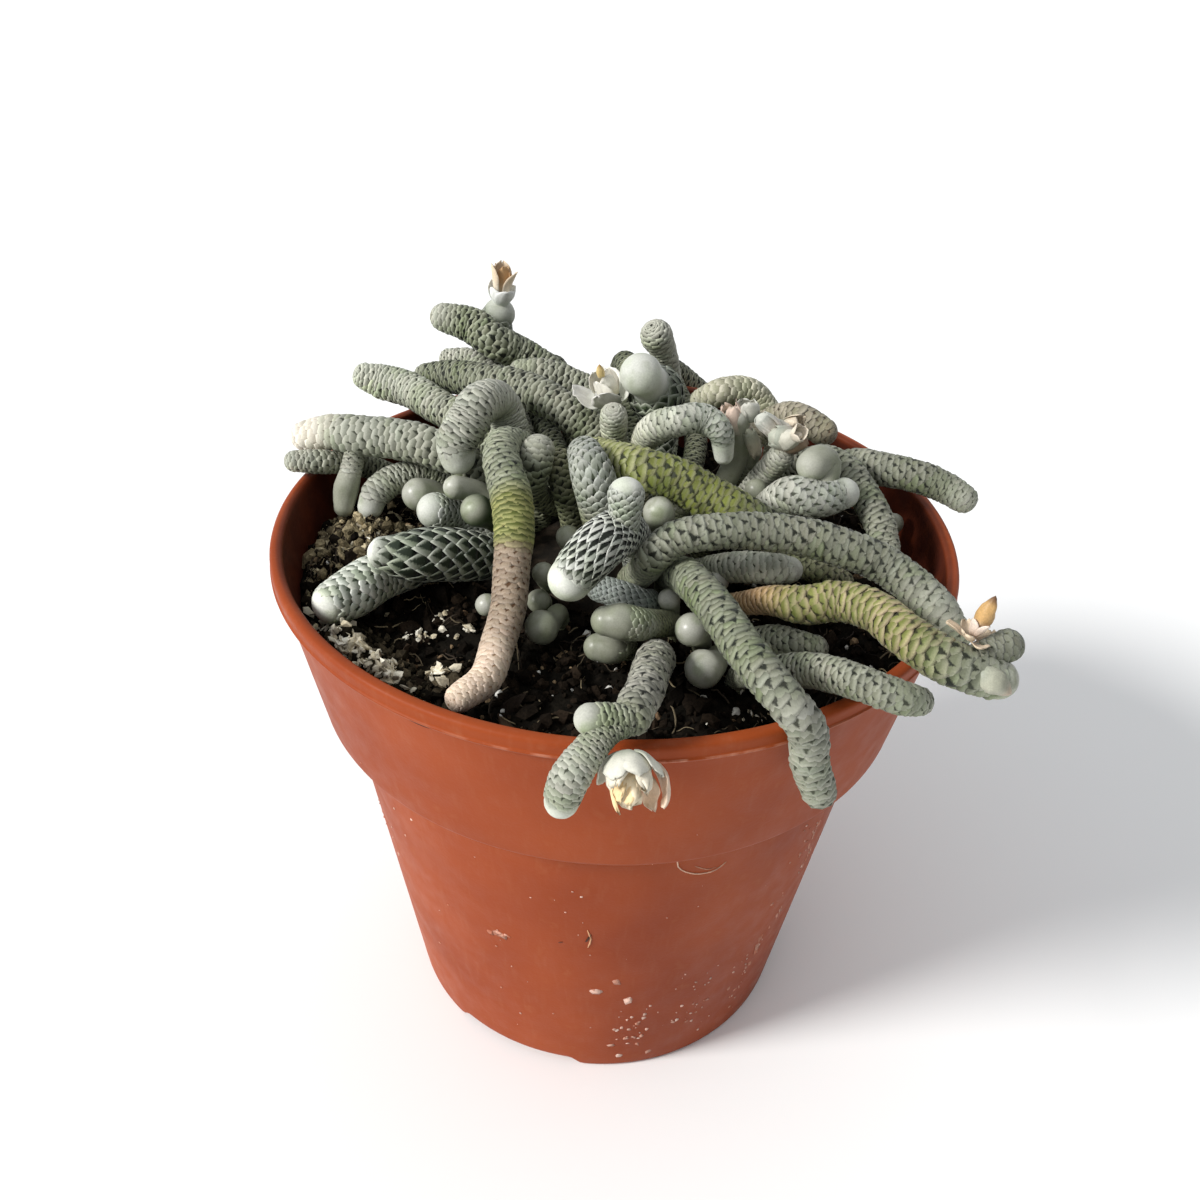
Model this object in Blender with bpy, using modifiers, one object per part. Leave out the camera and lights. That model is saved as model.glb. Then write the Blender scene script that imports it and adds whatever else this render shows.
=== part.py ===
# Potted avonia: a clump of scaly grey-green stems on a low crown, in a terracotta-coloured
# plastic nursery pot. The values are in millimetres and the meshes in metres. The origin is
# the centre of the pot's base, +Z is up and -Y is the front.

import math

import bmesh
import bpy
import numpy as np
from mathutils import Vector

MM = 0.001

# Pot: a tapered body, a ledge, a wider band above it and a small lip on top
POT_HEIGHT = 90.0
LIP_RADIUS = 52.5
LIP_INNER_RADIUS = 50.6
LIP_HEIGHT = 2.6
BAND_TOP_RADIUS = 51.5
BAND_FOOT_RADIUS = 46.8
LEDGE_HEIGHT = 63.0
BODY_TOP_RADIUS = 43.4
BASE_RADIUS = 33.4
BASE_ROUND = 0.9
WALL = 1.2
FLOOR = 3.4
POT_STEPS = 56

# Foot: three shallow arches in the base, each with a drain hole, leave three long feet
ARCH_ANGLES = (-114.0, 6.0, 126.0)
ARCH_WIDTH = 24.0
ARCH_HEIGHT = 2.0
ARCH_INNER_RADIUS = 27.0
ARCH_DEPTH = 14.0
ARCH_TAPER = 0.8
DRAIN_RADIUS = 1.75
DRAIN_DISTANCE = 29.6

# Soil and crown: the crown's lower half lies in a bowl in the middle of the soil
GAP = 0.3
SOIL_EDGE = 79.6
CROWN_RADIUS = 15.0
CROWN_LEVEL = 83.0
CROWN_RISE = 5.0
CROWN_SINK = 4.0
CROWN_MARGIN = 2.4
SOIL_STEPS = 36
SOIL_RINGS = (16.5, 20.0, 24.0, 28.5, 33.0, 37.5, 42.0, 46.0)
SOIL_ROUGH = 0.5
CLUMP_CENTRE = (-41.0, 2.0)
CLUMP_SPREAD = 6.0
CLUMP_RISE = 4.5

# Stems: spacing of the settled samples, clearance between them and sides of each tube
SAMPLE_STEP = 1.8
CLEARANCE = 0.42
SETTLE_ROUNDS = 360
PAIR_REACH = 2.5
STEM_RES = 2
RING_STEP = 4.0
ROOT_SINK = 0.9

# Each stem: its finish, whether its root end stands on the ground, and its route from the tip
# to the root as (x, y, z, radius)
STEMS = {
    "stem_back_left_high": ("scaly", True, [
        (-31, 40, 106, 2.4), (-26, 39, 105, 2.9), (-22, 37, 103, 2.9), (-17, 38, 100, 2.8),
        (-10, 36, 96, 2.5), (-5, 28, 91, 2.2), (-3, 18, 86, 1.9), (-3, 13, 87, 1.8)]),
    "stem_back_flowering": ("net", True, [
        (-22, 46, 104.5, 2.9), (-23, 46, 102, 3.3), (-22, 46, 98, 3.0), (-19, 44, 94, 2.7),
        (-13, 34, 88, 2.2), (-9, 24, 85, 2.0), (-7, 17, 85, 1.8)]),
    "stem_back_stub": ("scaly", True, [
        (-31, 45, 96, 1.8), (-26, 44, 96, 2.2), (-20, 38, 93, 2.1), (-15, 27, 87, 1.9),
        (-13, 15, 85, 1.7)]),
    "stem_left_back": ("scaly", True, [
        (-44, 33, 97.5, 2.2), (-41, 33, 96.5, 2.9), (-36, 31, 96, 2.9), (-30, 25, 95.5, 2.8),
        (-23, 19, 94.5, 2.5), (-17, 14, 90, 2.0), (-13, 9, 86, 1.8)]),
    "stem_left_long": ("scaly", True, [
        (-34, 37, 96, 2.3), (-29, 33, 98, 2.7), (-23, 27, 100, 2.9), (-16, 22, 101, 3.0),
        (-10, 18, 100, 2.9), (-4, 15, 96.5, 2.8), (0, 11, 91, 2.1), (1, 8, 89, 1.8)]),
    "stem_back_grey": ("scaly", True, [
        (-17, 32, 100, 2.1), (-13, 31, 100, 2.5), (-9, 30, 99, 2.5), (-3, 28, 96, 2.4),
        (0, 21, 90, 2.0), (1, 14, 87, 1.8)]),
    "stem_left_hooked": ("scaly", True, [
        (-25, 7, 95.5, 2.6), (-25, 7, 98, 2.8), (-23, 8, 101, 2.9), (-21, 10, 103.5, 2.9),
        (-18, 14, 102, 2.7), (-15, 13, 96, 2.5), (-11, 5, 88, 1.9)]),
    "stem_left_rim": ("scaly", True, [
        (-51, 16, 94.5, 2.4), (-47, 15, 95, 2.8), (-42, 13, 95.5, 3.0), (-36, 12, 96, 3.0),
        (-30, 10, 96, 2.9), (-23, 8, 93.5, 2.5), (-17, 5, 86, 1.9)]),
    "stem_left_under": ("scaly", True, [
        (-52, 11, 92.5, 1.7), (-47, 12, 92.5, 1.9), (-42, 16, 90, 1.9), (-36, 17, 87, 1.8),
        (-27, 15, 84, 1.6)]),
    "shoot_left_drooping": ("scaly", True, [
        (-40, 8, 86.5, 2.1), (-39, 9, 88.5, 2.3), (-36, 11, 90, 2.3), (-31, 13, 89.5, 2.2),
        (-23, 12, 84.5, 1.7)]),
    "bud_left_pale": ("bud", True, [
        (-32, 8, 89.5, 2.7), (-29, 9, 88.5, 2.3), (-22, 8, 84.5, 1.7)]),
    "bud_left_speckled": ("net", True, [
        (-28, 1, 90.5, 2.9), (-24, 4, 88, 2.4), (-19, 4, 84.7, 1.7)]),
    "bud_left_small": ("bud", True, [
        (-25, 3, 95, 1.9), (-21, 4, 92, 1.7), (-15, 3, 85, 1.5)]),
    "bud_left_green": ("bud", True, [
        (-21, -5, 94, 2.5), (-19, -2, 90, 2.0), (-15, -1, 85, 1.6)]),
    "stem_front_left_thick": ("net", True, [
        (-40, -20, 87, 3.3), (-38, -17, 86.5, 3.8), (-35, -12, 85.8, 3.7), (-30, -8, 84.8, 3.0),
        (-26, -4, 84, 2.0)]),
    "stem_front_left_net": ("net", True, [
        (-33, -16, 93, 2.6), (-30, -15.5, 92.5, 3.7), (-26, -13, 91.5, 4.1), (-21, -9, 89, 3.8),
        (-17, -5, 86, 2.6)]),
    "stem_front_drying": ("drying", True, [
        (-20, -38, 85, 2.0), (-17, -34, 85.3, 2.3), (-16, -28, 86.5, 2.4), (-15, -23, 89, 2.5),
        (-15, -18, 92.5, 2.6), (-15, -14, 96, 2.7), (-16, -9, 99, 2.8), (-18, -3, 101, 2.5),
        (-18, 4, 100, 2.4), (-14, 9, 95, 2.2), (-8, 10, 88, 1.8)]),
    "shoot_centre_green": ("bud", True, [
        (-14, 2, 101, 2.5), (-13, 1, 98, 2.5), (-11, 3, 92, 2.2), (-8, 5, 88.5, 1.7)]),
    "shoot_centre_olive": ("olive", True, [
        (-9, 4, 98, 2.3), (-9, 2, 95, 2.3), (-7, 1, 89.5, 1.8)]),
    "shoot_centre_white": ("net", True, [
        (-5, -4, 104, 2.5), (-4, -7, 103, 3.0), (-3, -8, 100, 3.1), (-2, -7, 94, 2.6),
        (-1, -5, 90, 1.8)]),
    "shoot_front_net": ("net", True, [
        (-6, -28, 98, 2.9), (-4, -27, 100, 3.3), (-2, -25, 101, 3.4), (1, -19, 99, 3.3),
        (3, -13, 94, 2.6), (3, -9, 89, 1.8)]),
    "shoot_front_low": ("scaly", True, [
        (-2, -19, 90.5, 2.0), (2, -20, 90, 2.1), (4, -19, 88, 2.0), (4, -15, 85.5, 1.6)]),
    "bud_front_oval": ("bud", True, [
        (-1, -29, 92, 2.1), (1, -29, 92, 2.6), (4, -28, 91, 2.3), (8, -23, 88, 1.8),
        (9, -19, 85, 1.5)]),
    "bud_front_low": ("bud", True, [
        (-2, -27, 86, 2.0), (0, -27, 86, 2.3), (2, -24, 84.5, 1.6)]),
    "stem_front_rim": ("scaly", True, [
        (2.5, -52.5, 95, 2.1), (3, -50, 94.8, 2.2), (4, -46, 93.8, 2.2), (5, -38, 91, 2.3),
        (6, -31, 88, 2.3), (6, -26, 84.5, 1.7)]),
    "stem_front_right_rim": ("scaly", True, [
        (27, -49, 81, 2.1), (25, -49, 86, 2.3), (24, -49, 91, 2.3), (22, -49, 94, 2.3),
        (19, -46, 96, 2.3), (16, -39, 96, 2.4), (13, -31, 96, 2.4), (10, -22, 94, 2.4),
        (9, -16, 90, 2.2), (8, -12, 86.5, 1.8)]),
    "stem_right_arch": ("scaly", True, [
        (46, -30, 92.5, 2.0), (44, -28, 95, 2.4), (41, -25, 96.5, 2.5), (37, -22, 98, 2.5),
        (32, -21, 99.5, 2.5), (26, -20, 100.5, 2.5), (19, -20, 101, 2.4), (13, -21, 101, 2.3),
        (8, -21, 99.5, 2.3), (5, -21, 96, 2.2), (4, -17, 90, 2.1), (3, -14, 86.5, 1.8)]),
    "stem_right_golden": ("drying", True, [
        (49, -41, 94, 2.6), (46, -41, 95, 2.7), (42, -40, 96, 2.8), (38, -36, 96.5, 2.7),
        (35, -31, 96.5, 2.6), (31, -27, 95.5, 2.6), (26, -26, 94, 2.5), (22, -23, 92.5, 2.0),
        (18, -19, 89, 1.6), (14, -14, 85, 1.5)]),
    "stem_right_low_rim": ("scaly", True, [
        (39, -43, 91.5, 1.8), (36, -44, 93, 2.1), (32, -43, 94, 2.1), (28, -40, 93.5, 2.2),
        (24, -36, 91.5, 2.2), (19, -32, 88, 2.0), (16, -28, 84.5, 1.6)]),
    "shoot_right_low": ("scaly", True, [
        (28, -28, 88, 1.8), (25, -28, 89, 1.9), (22, -26, 88.5, 1.9), (18, -22, 85, 1.6)]),
    "shoot_right_inner": ("scaly", True, [
        (25, -16, 93, 2.0), (22, -16, 93, 2.2), (17, -14, 91.5, 2.1), (12, -9, 87, 1.6)]),
    "shoot_right_tan": ("olive", True, [
        (34, -11, 88, 1.7), (31, -11, 89.5, 1.9), (27, -9, 89.5, 1.9), (22, -7, 87, 1.7),
        (17, -5, 85, 1.5)]),
    "stem_centre_yellow": ("olive", True, [
        (24, -5, 95, 2.2), (19, -6, 98, 2.8), (14, -5, 100, 3.0), (10, -4, 102, 2.9),
        (5, -3, 103, 2.8), (1, 1, 102, 2.7), (-3, 8, 99, 2.4), (-5, 9, 94, 2.1),
        (-4, 7, 89.5, 1.7)]),
    "stem_centre_curled": ("scaly", True, [
        (16, 3, 101, 1.5), (15, 3, 105, 2.0), (12, 4, 106.5, 2.3), (9, 3, 106.5, 2.2),
        (5, 4, 104.5, 2.3), (3, 7, 99, 1.9), (3, 5, 89.5, 1.7)]),
    "shoot_back_upright": ("scaly", True, [
        (6, 38, 105, 2.7), (8, 40, 100, 2.0), (9, 42, 94, 2.0), (9, 36, 88, 1.9),
        (8, 26, 85, 1.9), (6, 16, 85, 1.7)]),
    "shoot_back_net": ("net", True, [
        (3, 11, 110, 3.4), (5, 14, 106, 4.6), (6, 17, 101, 4.0), (6, 16, 95, 2.6),
        (4, 11, 88, 2.0)]),
    "bud_centre_back": ("bud", True, [
        (-1, 6, 105, 2.0), (-1, 7, 101, 2.0), (0, 8, 95, 1.7), (-1, 5, 90, 1.5)]),
    "stem_back_right": ("olive", True, [
        (14, 28, 98, 2.0), (17, 27, 100, 2.4), (21, 28, 100, 2.4), (24, 28, 98, 2.3),
        (27, 25, 93, 2.2), (25, 18, 87, 2.0), (19, 13, 84.5, 1.7)]),
    "stem_back_right_tan": ("olive", True, [
        (33, 16, 99, 2.3), (30, 18, 100, 2.4), (27, 21, 99, 2.3), (23, 22, 95, 2.2),
        (18, 16, 88, 2.0), (14, 11, 85, 1.7)]),
    "shoot_cluster_left": ("bud", True, [
        (18, 9, 104, 2.1), (19, 10, 98, 1.9), (16, 9, 90, 1.8), (10, 7, 87.5, 1.6)]),
    "shoot_cluster_right": ("scaly", True, [
        (25, 5, 100, 2.0), (23, 6, 96, 1.9), (19, 5, 90, 1.8), (13, 3, 86.5, 1.6)]),
    "shoot_right_white": ("net", True, [
        (34, -2, 98, 2.4), (30, -4, 97.5, 2.8), (26, -3, 97, 2.9), (22, -1, 91.5, 2.4),
        (18, 0, 87, 2.0), (14, -1, 85.5, 1.7)]),
    "stem_far_right_rim": ("scaly", True, [
        (54, 4, 94.5, 2.1), (51, 6, 95.5, 2.3), (47, 7, 96.5, 2.4), (42, 9, 96.5, 2.5),
        (38, 12, 95.5, 2.5), (33, 14, 92.5, 2.3), (26, 14, 88, 2.0), (19, 10, 84.7, 1.7)]),
    "stem_right_back": ("scaly", True, [
        (41, -6, 91, 1.9), (40, -3, 93.5, 2.2), (38, 1, 96, 2.3), (35, 6, 98, 2.4),
        (31, 10, 97, 2.3), (25, 10, 91, 2.0), (18, 7, 85, 1.7)]),
    "bud_centre_grey": ("bud", True, [
        (7, -7, 100, 2.4), (7, -6, 95, 1.9), (6, -4, 89.5, 1.5)]),
    "bud_front_round": ("bud", True, [
        (9, -26, 89, 2.4), (11, -24, 87, 1.7), (13, -21, 84.5, 1.5)]),
    "bud_front_shiny": ("bud", True, [
        (12, -29, 86.5, 2.8), (14, -27, 85.5, 1.8), (15, -24, 84, 1.5)]),
    "bud_front_soil": ("bud", True, [
        (-10, -22, 85.5, 2.6), (-9, -20, 85, 1.7), (-8, -17, 84.5, 1.5)]),
    "stem_rear_left": ("scaly", True, [
        (-27, 49, 75, 2.2), (-23, 51, 81, 2.4), (-18, 53.5, 87.5, 2.3), (-13, 51, 92.6, 2.1),
        (-11, 44, 92.5, 2.1), (-8, 34, 87, 2.0), (-5, 22, 84.5, 1.8)]),
    "stem_rear_middle": ("scaly", True, [
        (-2, 55, 68, 2.3), (-2, 55.5, 76, 2.6), (0, 55.8, 85, 2.5), (1, 52, 92.6, 2.3),
        (2, 43, 92, 2.2), (3, 31, 86, 2.0), (2, 20, 84.7, 1.7)]),
    "stem_rear_right": ("scaly", True, [
        (25, 49, 79, 2.1), (20, 52, 83, 2.3), (14, 54.5, 87.5, 2.3), (9, 51, 92.6, 2.1),
        (10, 47, 91, 2.0), (14, 36, 87, 2.0), (12, 20, 84.5, 1.7)]),
}

# Side buds and twin tips that grew on a stem, as (stem, route), joined to it in one solid
BRANCHES = {
    "hanging_bud": ("stem_left_rim", [
        (-44, 8, 86, 1.6), (-44, 10, 89, 2.1), (-43, 12, 93, 1.6)]),
    "top_bud": ("shoot_front_net", [(1, -21, 107, 2.6), (1, -21, 104, 2.2), (1, -20, 101, 2.2)]),
    "left_tip": ("stem_front_rim", [(-2.5, -54.5, 96, 2.0), (1.5, -53.5, 95.3, 1.8)]),
    "hanging_tip": ("stem_front_rim", [
        (-5.5, -60, 88, 2.1), (-4.5, -59.5, 91.5, 2.3), (-1, -55.5, 94.6, 1.8),
        (1.5, -53.5, 95, 1.8)]),
    "twin_tip": ("stem_right_golden", [(50, -38.5, 97.5, 2.5), (46, -40, 96.5, 2.0)]),
    "oval_bud": ("shoot_right_white", [
        (29, -1, 102, 2.5), (31, 1, 101.5, 2.6), (31, -3, 98, 1.8)]),
}

# Flowers and capsules: base point, top point, largest radius, lobes, lobe depth, finish
FLOWERS = {
    "flower_front_dried": ((2.6, -57.6, 94.6), (3.2, -61.0, 88.2), 3.9, 5, 0.16, "petal"),
    "flower_back_dried": ((-21.6, 45.8, 107.8), (-21.0, 45.6, 113.2), 2.4, 4, 0.22, "petal"),
    "flower_centre_papery": ((-0.9, 15.0, 104.2), (-3.4, 14.0, 109.8), 2.6, 4, 0.2, "petal"),
    "capsule_golden": ((45.4, -38.4, 98.8), (47.0, -38.0, 104.6), 1.5, 3, 0.06, "capsule"),
    "capsule_pale": ((25.0, 4.2, 102.8), (27.4, 1.8, 106.4), 2.4, 5, 0.1, "petal"),
}
FLOWER_AROUND = 15
FLOWER_ALONG = 8
FLOWER_INSET = 0.9

# Finishes: colour, roughness and metallic value
FINISHES = {
    "pot": ((0.56, 0.19, 0.09), 0.42, 0.0),
    "soil": ((0.035, 0.026, 0.02), 0.95, 0.0),
    "crown": ((0.16, 0.12, 0.09), 0.9, 0.0),
    "scaly": ((0.40, 0.43, 0.37), 0.7, 0.0),
    "net": ((0.55, 0.58, 0.54), 0.65, 0.0),
    "bud": ((0.62, 0.66, 0.60), 0.45, 0.0),
    "olive": ((0.45, 0.45, 0.20), 0.7, 0.0),
    "drying": ((0.62, 0.50, 0.36), 0.75, 0.0),
    "petal": ((0.86, 0.80, 0.70), 0.6, 0.0),
    "capsule": ((0.72, 0.47, 0.22), 0.55, 0.0),
}


def clear_scene():
    for obj in list(bpy.data.objects):
        bpy.data.objects.remove(obj, do_unlink=True)


def new_collection(name):
    collection = bpy.data.collections.new(name)
    bpy.context.scene.collection.children.link(collection)
    return collection


def make_material(name):
    colour, roughness, metallic = FINISHES[name]
    material = bpy.data.materials.new(name)
    material.use_nodes = True
    shader = material.node_tree.nodes["Principled BSDF"]
    shader.inputs["Base Color"].default_value = (*colour, 1.0)
    shader.inputs["Roughness"].default_value = roughness
    shader.inputs["Metallic"].default_value = metallic
    material.diffuse_color = (*colour, 1.0)
    return material


def place(obj, collection, material=None):
    for old in list(obj.users_collection):
        old.objects.unlink(obj)
    collection.objects.link(obj)
    if material is not None:
        obj.data.materials.clear()
        obj.data.materials.append(material)
    return obj


def turned(name, profile, steps):
    """A profile of (radius, height) points turned about Z, closed on the axis."""
    mesh = bpy.data.meshes.new(name)
    points = [(r * MM, 0.0, z * MM) for r, z in profile]
    edges = [(i, i + 1) for i in range(len(points) - 1)]
    mesh.from_pydata(points, edges, [])
    obj = bpy.data.objects.new(name, mesh)
    screw = obj.modifiers.new("Turn", "SCREW")
    screw.steps = steps
    screw.render_steps = steps
    screw.use_merge_vertices = True
    screw.merge_threshold = 0.00001
    return obj


def baked(obj, collection, material):
    """The object's evaluated mesh as a new object with welded vertices."""
    bpy.context.view_layer.update()
    depsgraph = bpy.context.evaluated_depsgraph_get()
    mesh = bpy.data.meshes.new_from_object(obj.evaluated_get(depsgraph))
    solid = bpy.data.objects.new(obj.name, mesh)
    solid.matrix_world = obj.matrix_world.copy()
    name = obj.name
    bpy.data.objects.remove(obj, do_unlink=True)
    solid.name = name
    work = bmesh.new()
    work.from_mesh(mesh)
    bmesh.ops.remove_doubles(work, verts=work.verts, dist=0.000002)
    work.to_mesh(mesh)
    work.free()
    place(solid, collection, material)
    return solid


def cut(target, cutter, operation):
    boolean = target.modifiers.new(cutter.name, "BOOLEAN")
    boolean.operation = operation
    boolean.object = cutter
    cutter.hide_render = True
    cutter.display_type = "WIRE"


# Pot

def pot_profile():
    """Inner floor, inner wall, lip, outer wall and base, as (radius, height)."""
    lip_foot = POT_HEIGHT - LIP_HEIGHT
    body_slope = (BODY_TOP_RADIUS - BASE_RADIUS) / LEDGE_HEIGHT
    inner_ledge = LEDGE_HEIGHT + WALL
    body_inner_foot = BASE_RADIUS + body_slope * FLOOR - WALL
    return [
        (0.0, FLOOR),
        (body_inner_foot, FLOOR),
        (BODY_TOP_RADIUS - WALL, inner_ledge),
        (BAND_FOOT_RADIUS - WALL + 0.2, inner_ledge),
        (BAND_TOP_RADIUS - WALL, lip_foot),
        (LIP_INNER_RADIUS, POT_HEIGHT - 0.5),
        (LIP_INNER_RADIUS + 0.5, POT_HEIGHT),
        (LIP_RADIUS - 0.5, POT_HEIGHT),
        (LIP_RADIUS, POT_HEIGHT - 0.5),
        (LIP_RADIUS - 0.1, lip_foot),
        (BAND_TOP_RADIUS, lip_foot - 0.4),
        (BAND_FOOT_RADIUS, LEDGE_HEIGHT + 0.8),
        (BAND_FOOT_RADIUS - 0.8, LEDGE_HEIGHT),
        (BODY_TOP_RADIUS, LEDGE_HEIGHT),
        (BASE_RADIUS + body_slope * BASE_ROUND, BASE_ROUND),
        (BASE_RADIUS - BASE_ROUND, 0.0),
        (0.0, 0.0),
    ]


def arch_cutter(index, angle):
    """A shallow tapered block that cuts one arch into the foot."""
    mesh = bpy.data.meshes.new(f"arch_{index}")
    work = bmesh.new()
    bmesh.ops.create_cube(work, size=1.0)
    for vert in work.verts:
        narrow = ARCH_TAPER if vert.co.z > 0 else 1.0 + (1.0 - ARCH_TAPER) * 0.5
        vert.co.x *= ARCH_DEPTH * MM
        vert.co.y *= ARCH_WIDTH * narrow * MM
        vert.co.z = ARCH_HEIGHT * MM if vert.co.z > 0 else -1.0 * MM
        vert.co.x += (ARCH_INNER_RADIUS + ARCH_DEPTH / 2) * MM
    work.to_mesh(mesh)
    work.free()
    cutter = bpy.data.objects.new(f"arch_{index}", mesh)
    cutter.rotation_euler.z = math.radians(angle)
    return cutter


def drain_cutter(index, angle):
    mesh = bpy.data.meshes.new(f"drain_{index}")
    work = bmesh.new()
    bmesh.ops.create_cone(work, cap_ends=True, segments=12, radius1=DRAIN_RADIUS * MM,
                          radius2=DRAIN_RADIUS * MM, depth=4 * FLOOR * MM)
    work.to_mesh(mesh)
    work.free()
    cutter = bpy.data.objects.new(f"drain_{index}", mesh)
    turn = math.radians(angle)
    cutter.location = (DRAIN_DISTANCE * MM * math.cos(turn), DRAIN_DISTANCE * MM * math.sin(turn), 0)
    cutter.rotation_euler.z = turn
    return cutter


def build_pot(parts, cutters, materials):
    pot = place(turned("pot", pot_profile(), POT_STEPS), parts, materials["pot"])
    for index, angle in enumerate(ARCH_ANGLES):
        for cutter in (arch_cutter(index, angle), drain_cutter(index, angle)):
            place(cutter, cutters)
            cut(pot, cutter, "DIFFERENCE")
    return pot


# Soil and crown

def soil_height(x, y):
    """A mound that falls to the wall, with low lumps and one raised clump on the left."""
    r = np.hypot(x, y)
    slope = (CROWN_LEVEL - SOIL_EDGE) / (LIP_INNER_RADIUS - CROWN_RADIUS)
    mound = CROWN_LEVEL - slope * np.clip(r - CROWN_RADIUS, 0, None)
    lumps = np.sin(0.31 * x + 0.9) * np.cos(0.27 * y - 0.4) + 0.6 * np.sin(0.52 * x - 0.44 * y)
    fade = np.clip((r - CROWN_RADIUS) / 6.0, 0, 1)
    clump = np.exp(-((x - CLUMP_CENTRE[0]) ** 2 + (y - CLUMP_CENTRE[1]) ** 2)
                   / (2 * CLUMP_SPREAD ** 2))
    return mound + fade * (SOIL_ROUGH * lumps + CLUMP_RISE * clump)


def crown_height(r):
    return CROWN_LEVEL + CROWN_RISE * np.sqrt(np.clip(1 - (r / CROWN_RADIUS) ** 2, 0, 1))


def ground_height(x, y):
    """Height of what a stem stands on: the crown, a little widened past its edge, or the soil."""
    r = np.hypot(x, y)
    across = r * CROWN_RADIUS / (CROWN_RADIUS + CROWN_MARGIN)
    crown = np.where(across < CROWN_RADIUS, crown_height(across), 0.0)
    return np.maximum(crown, soil_height(x, y))


def bowl_depth(r):
    """Soil height under the crown, a gap below the crown's lower half."""
    across = CROWN_RADIUS + 2 * GAP
    return CROWN_LEVEL - (CROWN_SINK + GAP) * math.sqrt(max(0.0, 1 - (r / across) ** 2))


def build_soil(parts, materials):
    across = CROWN_RADIUS + 2 * GAP
    bowl = [across * math.sin(t * math.pi / 12) for t in range(7)]
    top = [(r, bowl_depth(r)) for r in bowl]
    top += [(r, CROWN_LEVEL) for r in SOIL_RINGS]
    body_slope = (BODY_TOP_RADIUS - BASE_RADIUS) / LEDGE_HEIGHT
    inner_ledge = LEDGE_HEIGHT + WALL + GAP
    edge_radius = 48.3
    sides = [
        (edge_radius, SOIL_EDGE),
        (edge_radius - 0.2, SOIL_EDGE - 1.5),
        (BAND_FOOT_RADIUS - WALL - GAP, inner_ledge),
        (BODY_TOP_RADIUS - WALL - 1.5 * GAP, inner_ledge),
        (BASE_RADIUS + body_slope * FLOOR - WALL - 1.5 * GAP, FLOOR + GAP),
        (0.0, FLOOR + GAP),
    ]
    soil = baked(place(turned("soil", top + sides, SOIL_STEPS), parts), parts, materials["soil"])
    mesh = soil.data
    places = np.empty(len(mesh.vertices) * 3)
    mesh.vertices.foreach_get("co", places)
    places = places.reshape(-1, 3) / MM
    r = np.hypot(places[:, 0], places[:, 1])
    upper = (r > across + 0.3) & (places[:, 2] > SOIL_EDGE - 0.5)
    places[upper, 2] = soil_height(places[upper, 0], places[upper, 1])
    mesh.vertices.foreach_set("co", (places * MM).ravel())
    mesh.update()
    return soil


def build_crown(parts, materials):
    """A low woody cushion: half an ellipsoid above the soil and a shallower one below."""
    count = 6
    upper = [(CROWN_RADIUS * math.sin(i * math.pi / 2 / count),
              CROWN_LEVEL + CROWN_RISE * math.cos(i * math.pi / 2 / count))
             for i in range(count + 1)]
    lower = [(CROWN_RADIUS * math.cos(i * math.pi / 2 / count),
              CROWN_LEVEL - CROWN_SINK * math.sin(i * math.pi / 2 / count))
             for i in range(1, count + 1)]
    profile = upper + lower
    profile[0] = (0.0, profile[0][1])
    profile[-1] = (0.0, profile[-1][1])
    return place(turned("root_crown", profile, 32), parts, materials["crown"])


# Stems

def smooth_route(points):
    """A Catmull-Rom curve through the points, sampled at even steps of SAMPLE_STEP."""
    p = np.array(points, dtype=float)
    p = np.vstack([2 * p[0] - p[1], p, 2 * p[-1] - p[-2]])
    t = np.linspace(0, 1, 16, endpoint=False)[:, None]
    spans = []
    for a, b, c, d in zip(p[:-3], p[1:-2], p[2:-1], p[3:]):
        spans.append(0.5 * (2 * b + (c - a) * t + (2 * a - 5 * b + 4 * c - d) * t ** 2
                            + (3 * b - a - 3 * c + d) * t ** 3))
    curve = np.vstack(spans + [p[-2:-1]])
    steps = np.linalg.norm(np.diff(curve[:, :3], axis=0), axis=1)
    along = np.concatenate([[0.0], np.cumsum(steps)])
    count = max(3, int(round(along[-1] / SAMPLE_STEP)) + 1)
    wanted = np.linspace(0, along[-1], count)
    return np.stack([np.interp(wanted, along, curve[:, k]) for k in range(4)], axis=1)


def wall_push(place_mm, radius):
    """How far each sample must move to clear the pot's wall, a thick sloping line in section."""
    r = np.hypot(place_mm[:, 0], place_mm[:, 1])
    z = place_mm[:, 2]
    half = (LIP_RADIUS - LIP_INNER_RADIUS) / 2 + 0.15
    top = np.array([(LIP_RADIUS + LIP_INNER_RADIUS) / 2, POT_HEIGHT - half])
    foot = np.array([BAND_FOOT_RADIUS - WALL / 2, LEDGE_HEIGHT])
    line = foot - top
    t = np.clip(((r - top[0]) * line[0] + (z - top[1]) * line[1]) / (line @ line), 0, 1)
    out = r - (top[0] + t * line[0])
    up = z - (top[1] + t * line[1])
    distance = np.hypot(out, up) + 1e-9
    short = np.clip(radius + half + CLEARANCE - distance, 0, None) / distance
    return np.stack([place_mm[:, 0] / r * out * short, place_mm[:, 1] / r * out * short,
                     up * short], axis=1)


def near_pairs(places, radius, owner):
    """Index pairs of samples on different pieces that lie close enough to touch soon."""
    gap = np.linalg.norm(places[:, None, :] - places[None, :, :], axis=2)
    reach = radius[:, None] + radius[None, :] + PAIR_REACH
    close = (gap < reach) & (owner[:, None] != owner[None, :])
    return np.nonzero(np.triu(close))


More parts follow.
